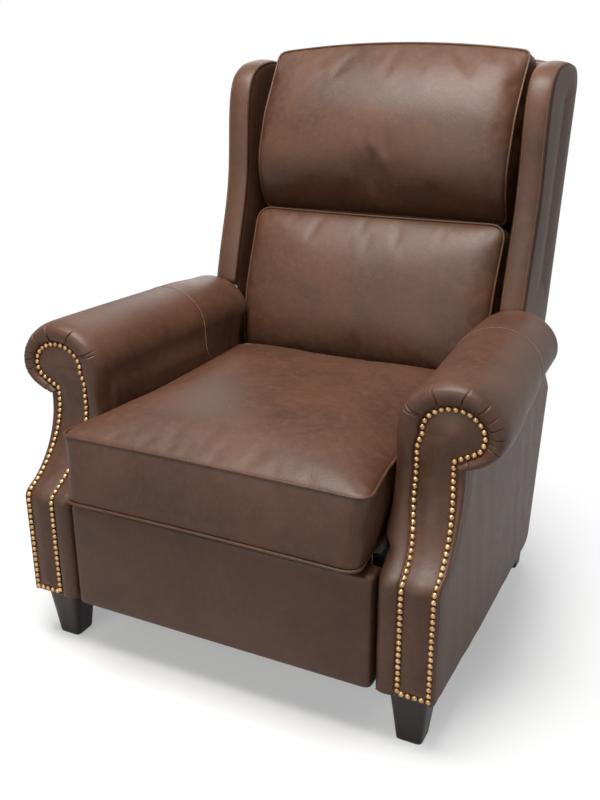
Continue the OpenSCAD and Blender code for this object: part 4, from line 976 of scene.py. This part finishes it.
def ring_of(keys, nx, ny, level):
    """Numbers of the block's corners round its edge at one level, in order round the edge. Each corner's
    three whole numbers are read as one, which is looked up in the sorted list."""
    x, y = np.arange(nx), np.arange(ny)
    i = np.concatenate((x, np.full(ny, nx), nx - x, np.zeros(ny, int)))
    j = np.concatenate((np.zeros(nx, int), y, np.full(nx, ny), ny - y))
    as_one = lambda a, b, c: (a * 1000 + b) * 1000 + c
    return np.searchsorted(as_one(*keys.T), as_one(i, j, level))


def rounded(u, v, corner_u, corner_v):
    """Square coordinates from -1 to 1 drawn into a rectangle with round corners: on the ring through a
    point, what lies within a corner's share is moved onto the quarter round, more so towards the edge."""
    ring = np.maximum(np.maximum(np.abs(u), np.abs(v)), 1e-6)
    p, q = u / ring, v / ring
    straight_u, straight_v = 1.0 - corner_u, 1.0 - corner_v
    du = np.maximum(np.abs(p) - straight_u, 0.0) / corner_u
    dv = np.maximum(np.abs(q) - straight_v, 0.0) / corner_v
    at_corner = (du > 0.0) & (dv > 0.0)
    turn = np.where(du >= dv, dv / np.maximum(du, 1e-9), 2.0 - du / np.maximum(dv, 1e-9)) * np.pi / 4.0
    pu = np.where(at_corner, np.sign(p) * (straight_u + corner_u * np.cos(turn)), p)
    qv = np.where(at_corner, np.sign(q) * (straight_v + corner_v * np.sin(turn)), q)
    weight = ring ** 6
    return ring * mix(p, pu, weight), ring * mix(q, qv, weight)


def drawn_in(pu, pv, pull=0.012):
    """The middles of the four sides drawn in by the pull of the cover: each coordinate is shortened by a
    parabola of the other."""
    return pu * (1.0 - pull * (1.0 - pv ** 2)), pv * (1.0 - pull * (1.0 - pu ** 2))


def crowned(u, v, w, flatness):
    """0 along the seams and 1 in the middle of the top: powers that keep the middle broad and flat."""
    return np.where(w == 1.0, ((1.0 - u ** flatness) * (1.0 - np.abs(v) ** 5)) ** 0.7, 0.0)


def mesh_points(mesh):
    """The mesh's points, in metres."""
    co = np.empty(len(mesh.vertices) * 3)
    mesh.vertices.foreach_get("co", co)
    return co.reshape(-1, 3)


def swell(made, held, pressure, growth, cap):
    """Blows the piece up as cloth for 20 frames with its seams held: the hide is given spare length by
    growth, so that it gathers beside the seams. A move of length d becomes cap times the hyperbolic
    tangent of d over cap, so no point moves further than cap, in millimetres."""
    mesh = made.data
    before = mesh_points(mesh)
    pins = made.vertex_groups.new(name="held")
    pins.add(np.flatnonzero(held).tolist(), 1.0, "REPLACE")
    cloth = made.modifiers.new("swell", "CLOTH")
    settings = cloth.settings
    settings.quality = 6
    settings.mass = 0.35
    settings.air_damping = 2.0
    settings.tension_stiffness = settings.compression_stiffness = 20.0
    settings.shear_stiffness = 8.0
    settings.bending_stiffness = 2.5
    settings.vertex_group_mass = "held"
    settings.use_pressure = True
    settings.uniform_pressure_force = pressure
    settings.shrink_min = -growth
    settings.effector_weights.gravity = 0.0
    cloth.collision_settings.use_collision = False
    cloth.point_cache.frame_start, cloth.point_cache.frame_end = 1, 20
    for number in range(1, 21):
        bpy.context.scene.frame_set(number)
    swollen = made.evaluated_get(bpy.context.evaluated_depsgraph_get())
    move = mesh_points(swollen.data) - before
    length = np.linalg.norm(move, axis=1, keepdims=True)
    limit = cap * MM
    move *= limit * np.tanh(length / limit) / np.maximum(length, 1e-9)
    made.modifiers.remove(cloth)
    made.vertex_groups.clear()
    bpy.context.scene.frame_set(1)
    mesh.vertices.foreach_set("co", (before + move).ravel())
    mesh.update()


def block_piece(name, points, faces, body):
    """A leather piece from a block's corners, which keep their order. It is turned outwards if its volume,
    summed over the faces' corners, comes out below 0."""
    mesh = raw_mesh(name, points, faces)
    if (np.cross(points[faces[:, 0]], points[faces[:, 1]]) * points[faces[:, 2]]).sum() < 0:
        mesh.flip_normals()
    return shown(name, mesh, body, LEATHER)


def cushion(name, body, size, shape, growth, cap, up, welt_r, welt_levels):
    """Block, shape, swell, one subdivision, and a welt cord along the seams at the given levels."""
    keys, faces, (u, v, w) = block(*size)
    made = block_piece(name, shape(u, v, w), faces, body)
    edge = (np.abs(u) == 1.0) | (np.abs(v) == 1.0)
    swell(made, edge & (w == 1.0) | (w == 0.0), 3.0, growth, cap)
    smoothed(made)
    now = (mesh_points(made.data) - ORIGIN) / MM
    seams = [softened(now[ring_of(keys, *size[:2], level)], 1, closed=True) for level in welt_levels]
    cords = [tube(seam, welt_r, 8, closed=True, up=up) for seam in seams]
    piece(f"{name}_welt", *joined(cords), body, WELT, "leather")
    return made


def seat_shape(u, v, w):
    """A box cushion: outline times the half width and half depth, boxing from the deck to the seat height,
    the top drawn back at the front, the front widened over the arms' set-back, and a crown over the top."""
    half_depth, corner, boxing = 312.0, 26.0, 119.0
    pu, pv = drawn_in(*rounded(u, v, corner / 272.0, corner / half_depth))
    y = 276.0 + pv * half_depth
    half = mix(278.0, 264.4, ease((y - SETBACK) / 176.0))
    half = half + mix(6.0 * ease((34.0 - y) / 70.0), 15.0 * np.clip((98.0 - y) / 134.0, 0.0, 1.0), w)
    hollow = np.where((w > 0.0) & (w < 1.0), 0.012 * np.sin(np.pi * w), 0.0)
    back = np.where(pv < 0.0, 18.0 * w * pv ** 2, 0.0)
    height = 334.0 + w * boxing + 31.0 * crowned(u, v, w, 6)
    return np.stack((pu * half * (1.0 - hollow), y + back, height), axis=1)


seat = cushion("seat_cushion_leather", "seat", (56, 62, 12), seat_shape, growth=0.003, cap=14.0,
               up=(0.0, 0.0, 1.0), welt_r=2.8, welt_levels=(12, 0))
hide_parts("seat_cushion")


def pillow_shape(low, high, shares, half_low, half_high, arch, crown, corner=30.0, slump=0.0):
    """A back pillow: the same box drawn on the slope of the back, its welt line at the depth that the
    shares give from the foot to the top. Arch raises the middle of its top. Slump raises its right end and
    lowers its left."""
    table = np.linspace(0.0, 1.0, 101)
    profile = softened(np.interp(table, (0.0, 0.12, 0.3, 0.6, 1.0), shares), 60)

    def shape(u, v, w):
        pu, pv = drawn_in(*rounded(u, v, corner / half_high, 2.0 * corner / (high - low)))
        t = (pv + 1.0) / 2.0
        half = mix(half_low, half_high, ease(2.0 * t))
        welt = BACK_DEPTH * np.interp(t, table, profile)
        depth = mix(FRAME_FACE, welt, w) + crown * crowned(u, v, w, 8)
        return on_back(depth, pu * half, mix(low, high + arch * (1.0 - pu ** 2) + slump * pu, t))
    return shape


BACK_NORMAL = (0.0, -math.cos(LEAN), math.sin(LEAN))
lumbar_shape = pillow_shape(96.0, 445.4, (0.84, 0.93, 0.97, 0.92, 0.76), 279.0, 286.0, 0.0, 26.0)
lumbar = cushion("lumbar_pillow_leather", "back", (54, 34, 8), lumbar_shape, growth=0.004,
                 cap=16.0, up=BACK_NORMAL, welt_r=2.5, welt_levels=(8,))
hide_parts("lumbar_cushion")
head_shape = pillow_shape(446.6, BACK_LEN, (0.6, 0.82, 0.95, 0.88, 0.58), 280.0, 283.0, 20.0, 27.0, 12.0, 2.0)
head = cushion("head_pillow_leather", "back", (54, 34, 8), head_shape, growth=0.012, cap=18.0,
               up=BACK_NORMAL, welt_r=2.5, welt_levels=(8,))
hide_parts("head_cushion")


# Footrest panel

def footrest_shape(u, v, w):
    """A pad that wraps the board from behind: rounded outline, its front edge turned in a quarter round,
    a slight crown in front."""
    half_width, half_height, corner = 295.5, 106.5, 6.0
    pu, pv = rounded(u, v, corner / half_width, corner / half_height)
    near = np.maximum(np.abs(u), np.abs(v))
    turn = np.clip((w - 0.6) / 0.4, 0.0, 1.0)
    draw = 10.0 * (1.0 - np.sqrt(1.0 - turn ** 2)) * near
    lift = np.where(w == 1.0, 1.0 - near ** 5, 0.0)
    return np.stack((-pu * (half_width - draw), mix(36.4, -5.0, w) - 4.5 * lift,
                     207.5 + pv * (half_height - draw)), axis=1)


_, faces, places = block(64, 26, 20)
foot = block_piece("footrest_pad_leather", footrest_shape(*places), faces, "footrest")
smoothed(foot)
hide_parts("footrest_pad")


# Legs: square tapers with eased edges

def leg_grid(x, y, splay):
    """Rings of a square with rounded corners, where |cos a| and |sin a| over the radius, each to the
    seventh power, add up to 1. Its width eases from the top to the foot."""
    power, sides, top, foot = 7.0, 48, 36.0, 23.0
    a = np.linspace(0.0, 2.0 * np.pi, sides, endpoint=False)
    r = (np.abs(np.cos(a)) ** power + np.abs(np.sin(a)) ** power) ** (-1.0 / power)
    t = np.concatenate(((0.0, 0.0), np.linspace(0.0, 1.0, 24), (1.0, 1.0)))[:, None]
    half = mix(top, foot, t ** 0.9)
    half[[0, -1]] = 0.0
    half[-2] -= 1.5
    ring_x = x + splay * t + half * (r * np.cos(a))
    ring_y = y + splay * t + half * (r * np.sin(a))
    return np.dstack(np.broadcast_arrays(ring_x, ring_y, mix(HEM, 0.6, t)))


for label, x, y, splay in (("front", 354.0, 49.0, 0.0), ("rear", 346.0, 665.0, 8.0)):
    rings = leg_grid(x, y, splay)
    pair = [(on_side(rings, side), grid_faces(*rings.shape[:2], wrap=True)) for side, _ in SIDES]
    legs = piece(f"{label}_legs_tapered", *joined(pair), "base", LEG_WOOD, "leg_wood")
    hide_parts(f"{label}_legs")


# Floor, light and camera

def background_seen(tree):
    """1 for rays from the camera and through glass, and a good half for reflections, which show the white
    background too."""
    path = add(tree, "ShaderNodeLightPath").outputs
    shine = math_node(tree, "MULTIPLY", path["Is Glossy Ray"], 0.6)
    clear = math_node(tree, "MAXIMUM", shine, path["Is Transmission Ray"])
    return math_node(tree, "MAXIMUM", path["Is Camera Ray"], clear)


def pale_floor():
    """A pale floor that fades into white away from the chair, and keeps the chair's shadow. It throws less
    light back on the chair than it shows."""
    mesh = bpy.data.meshes.new("floor")
    corners = [(40.0 * x, 40.0 * y, 0.0) for x, y in ((-1, -1), (1, -1), (1, 1), (-1, 1))]
    mesh.from_pydata(corners, [], [(0, 1, 2, 3)])
    floor = bpy.data.objects.new("floor", mesh)
    bpy.context.scene.collection.objects.link(floor)
    material = bpy.data.materials.new("pale_floor")
    material.use_nodes = True
    tree = material.node_tree
    shader = tree.nodes["Principled BSDF"]
    shader.inputs["Roughness"].default_value = 0.9
    shader.inputs["Specular IOR Level"].default_value = 0.1
    place = add(tree, "ShaderNodeTexCoord").outputs["Object"]
    distance = add(tree, "ShaderNodeVectorMath", {1: (-0.12, -0.1, 0.0)}, {0: place}, operation="DISTANCE")
    away = add(tree, "ShaderNodeMapRange", {"From Min": 0.42, "From Max": 0.98},
               {"Value": distance.outputs["Value"]}, interpolation_type="SMOOTHSTEP").outputs["Result"]
    white = add(tree, "ShaderNodeEmission", {"Color": (1, 1, 1, 1), "Strength": 1.0})
    seen = background_seen(tree)
    pale = colour_mix(tree, seen, (0.36, 0.36, 0.36, 1.0), (0.9, 0.9, 0.9, 1.0))
    tree.links.new(pale, shader.inputs["Base Color"])
    lit = add(tree, "ShaderNodeMapRange", {"To Min": 0.3, "To Max": 1.0}, {"Value": away}).outputs[0]
    blend = add(tree, "ShaderNodeMixShader", links={0: math_node(tree, "MULTIPLY", lit, seen),
                                                    1: shader.outputs[0], 2: white.outputs[0]})
    tree.links.new(blend.outputs[0], tree.nodes["Material Output"].inputs["Surface"])
    mesh.materials.append(material)


def studio():
    """A white surround that lights the chair dimly, and four soft round lamps: name, watts, width, place,
    target and colour."""
    world = bpy.data.worlds.new("studio")
    world.use_nodes = True
    bpy.context.scene.world = world
    tree = world.node_tree
    light = tree.nodes["Background"]
    light.inputs["Color"].default_value = (0.93, 0.96, 1.0, 1.0)
    light.inputs["Strength"].default_value = 0.16
    plain = add(tree, "ShaderNodeBackground", {"Color": (1, 1, 1, 1), "Strength": 1.0})
    blend = add(tree, "ShaderNodeMixShader",
                links={0: background_seen(tree), 1: light.outputs[0], 2: plain.outputs[0]})
    tree.links.new(blend.outputs[0], tree.nodes["World Output"].inputs["Surface"])

    for name, power, size, place, target, colour in (
        ("top", 114.0, 1.6, (-0.1, -0.6, 2.9), (0.0, -0.05, 0.4), (1.0, 0.985, 0.95)),
        ("key", 32.0, 2.2, (-0.6, -3.1, 1.5), (0.0, 0.0, 0.5), (1.0, 0.97, 0.93)),
        ("side", 5.0, 0.9, (2.6, -0.2, 0.85), (0.2, 0.0, 0.5), (0.92, 0.94, 1.0)),
        ("rear", 26.0, 2.2, (-1.0, 2.5, 1.5), (0.0, 0.0, 0.6), (0.95, 0.97, 1.0)),
    ):
        lamp = bpy.data.lights.new(name, "AREA")
        lamp.shape, lamp.size, lamp.energy, lamp.color = "DISK", size, power, colour
        holder = bpy.data.objects.new(name, lamp)
        bpy.context.scene.collection.objects.link(holder)
        holder.location = place
        holder.rotation_euler = (Vector(target) - Vector(place)).to_track_quat("-Z", "Y").to_euler()


def photo_camera():
    """The camera solved from the photograph: its place, its three directions and its focal length."""
    azimuth, down, roll = math.radians(26.343), math.radians(20.793), math.radians(-0.222)
    right = Vector((math.cos(azimuth), math.sin(azimuth), 0.0))
    back = Vector((math.sin(azimuth) * math.cos(down), -math.cos(azimuth) * math.cos(down), math.sin(down)))
    up = back.cross(right)
    right, up = right * math.cos(roll) + up * math.sin(roll), up * math.cos(roll) - right * math.sin(roll)
    lens = bpy.data.cameras.new("camera")
    lens.sensor_width, lens.sensor_fit, lens.lens = 36.0, "AUTO", 42.24
    lens.clip_end = 200.0
    made = bpy.data.objects.new("camera", lens)
    bpy.context.scene.collection.objects.link(made)
    place = Matrix.Translation(Vector((0.7542, -1.181 + ORIGIN[1], 1.088)))
    made.matrix_world = place @ Matrix((right, up, back)).transposed().to_4x4()
    bpy.context.scene.camera = made


pale_floor()
studio()
photo_camera()
bpy.context.scene.view_settings.view_transform = "Standard"
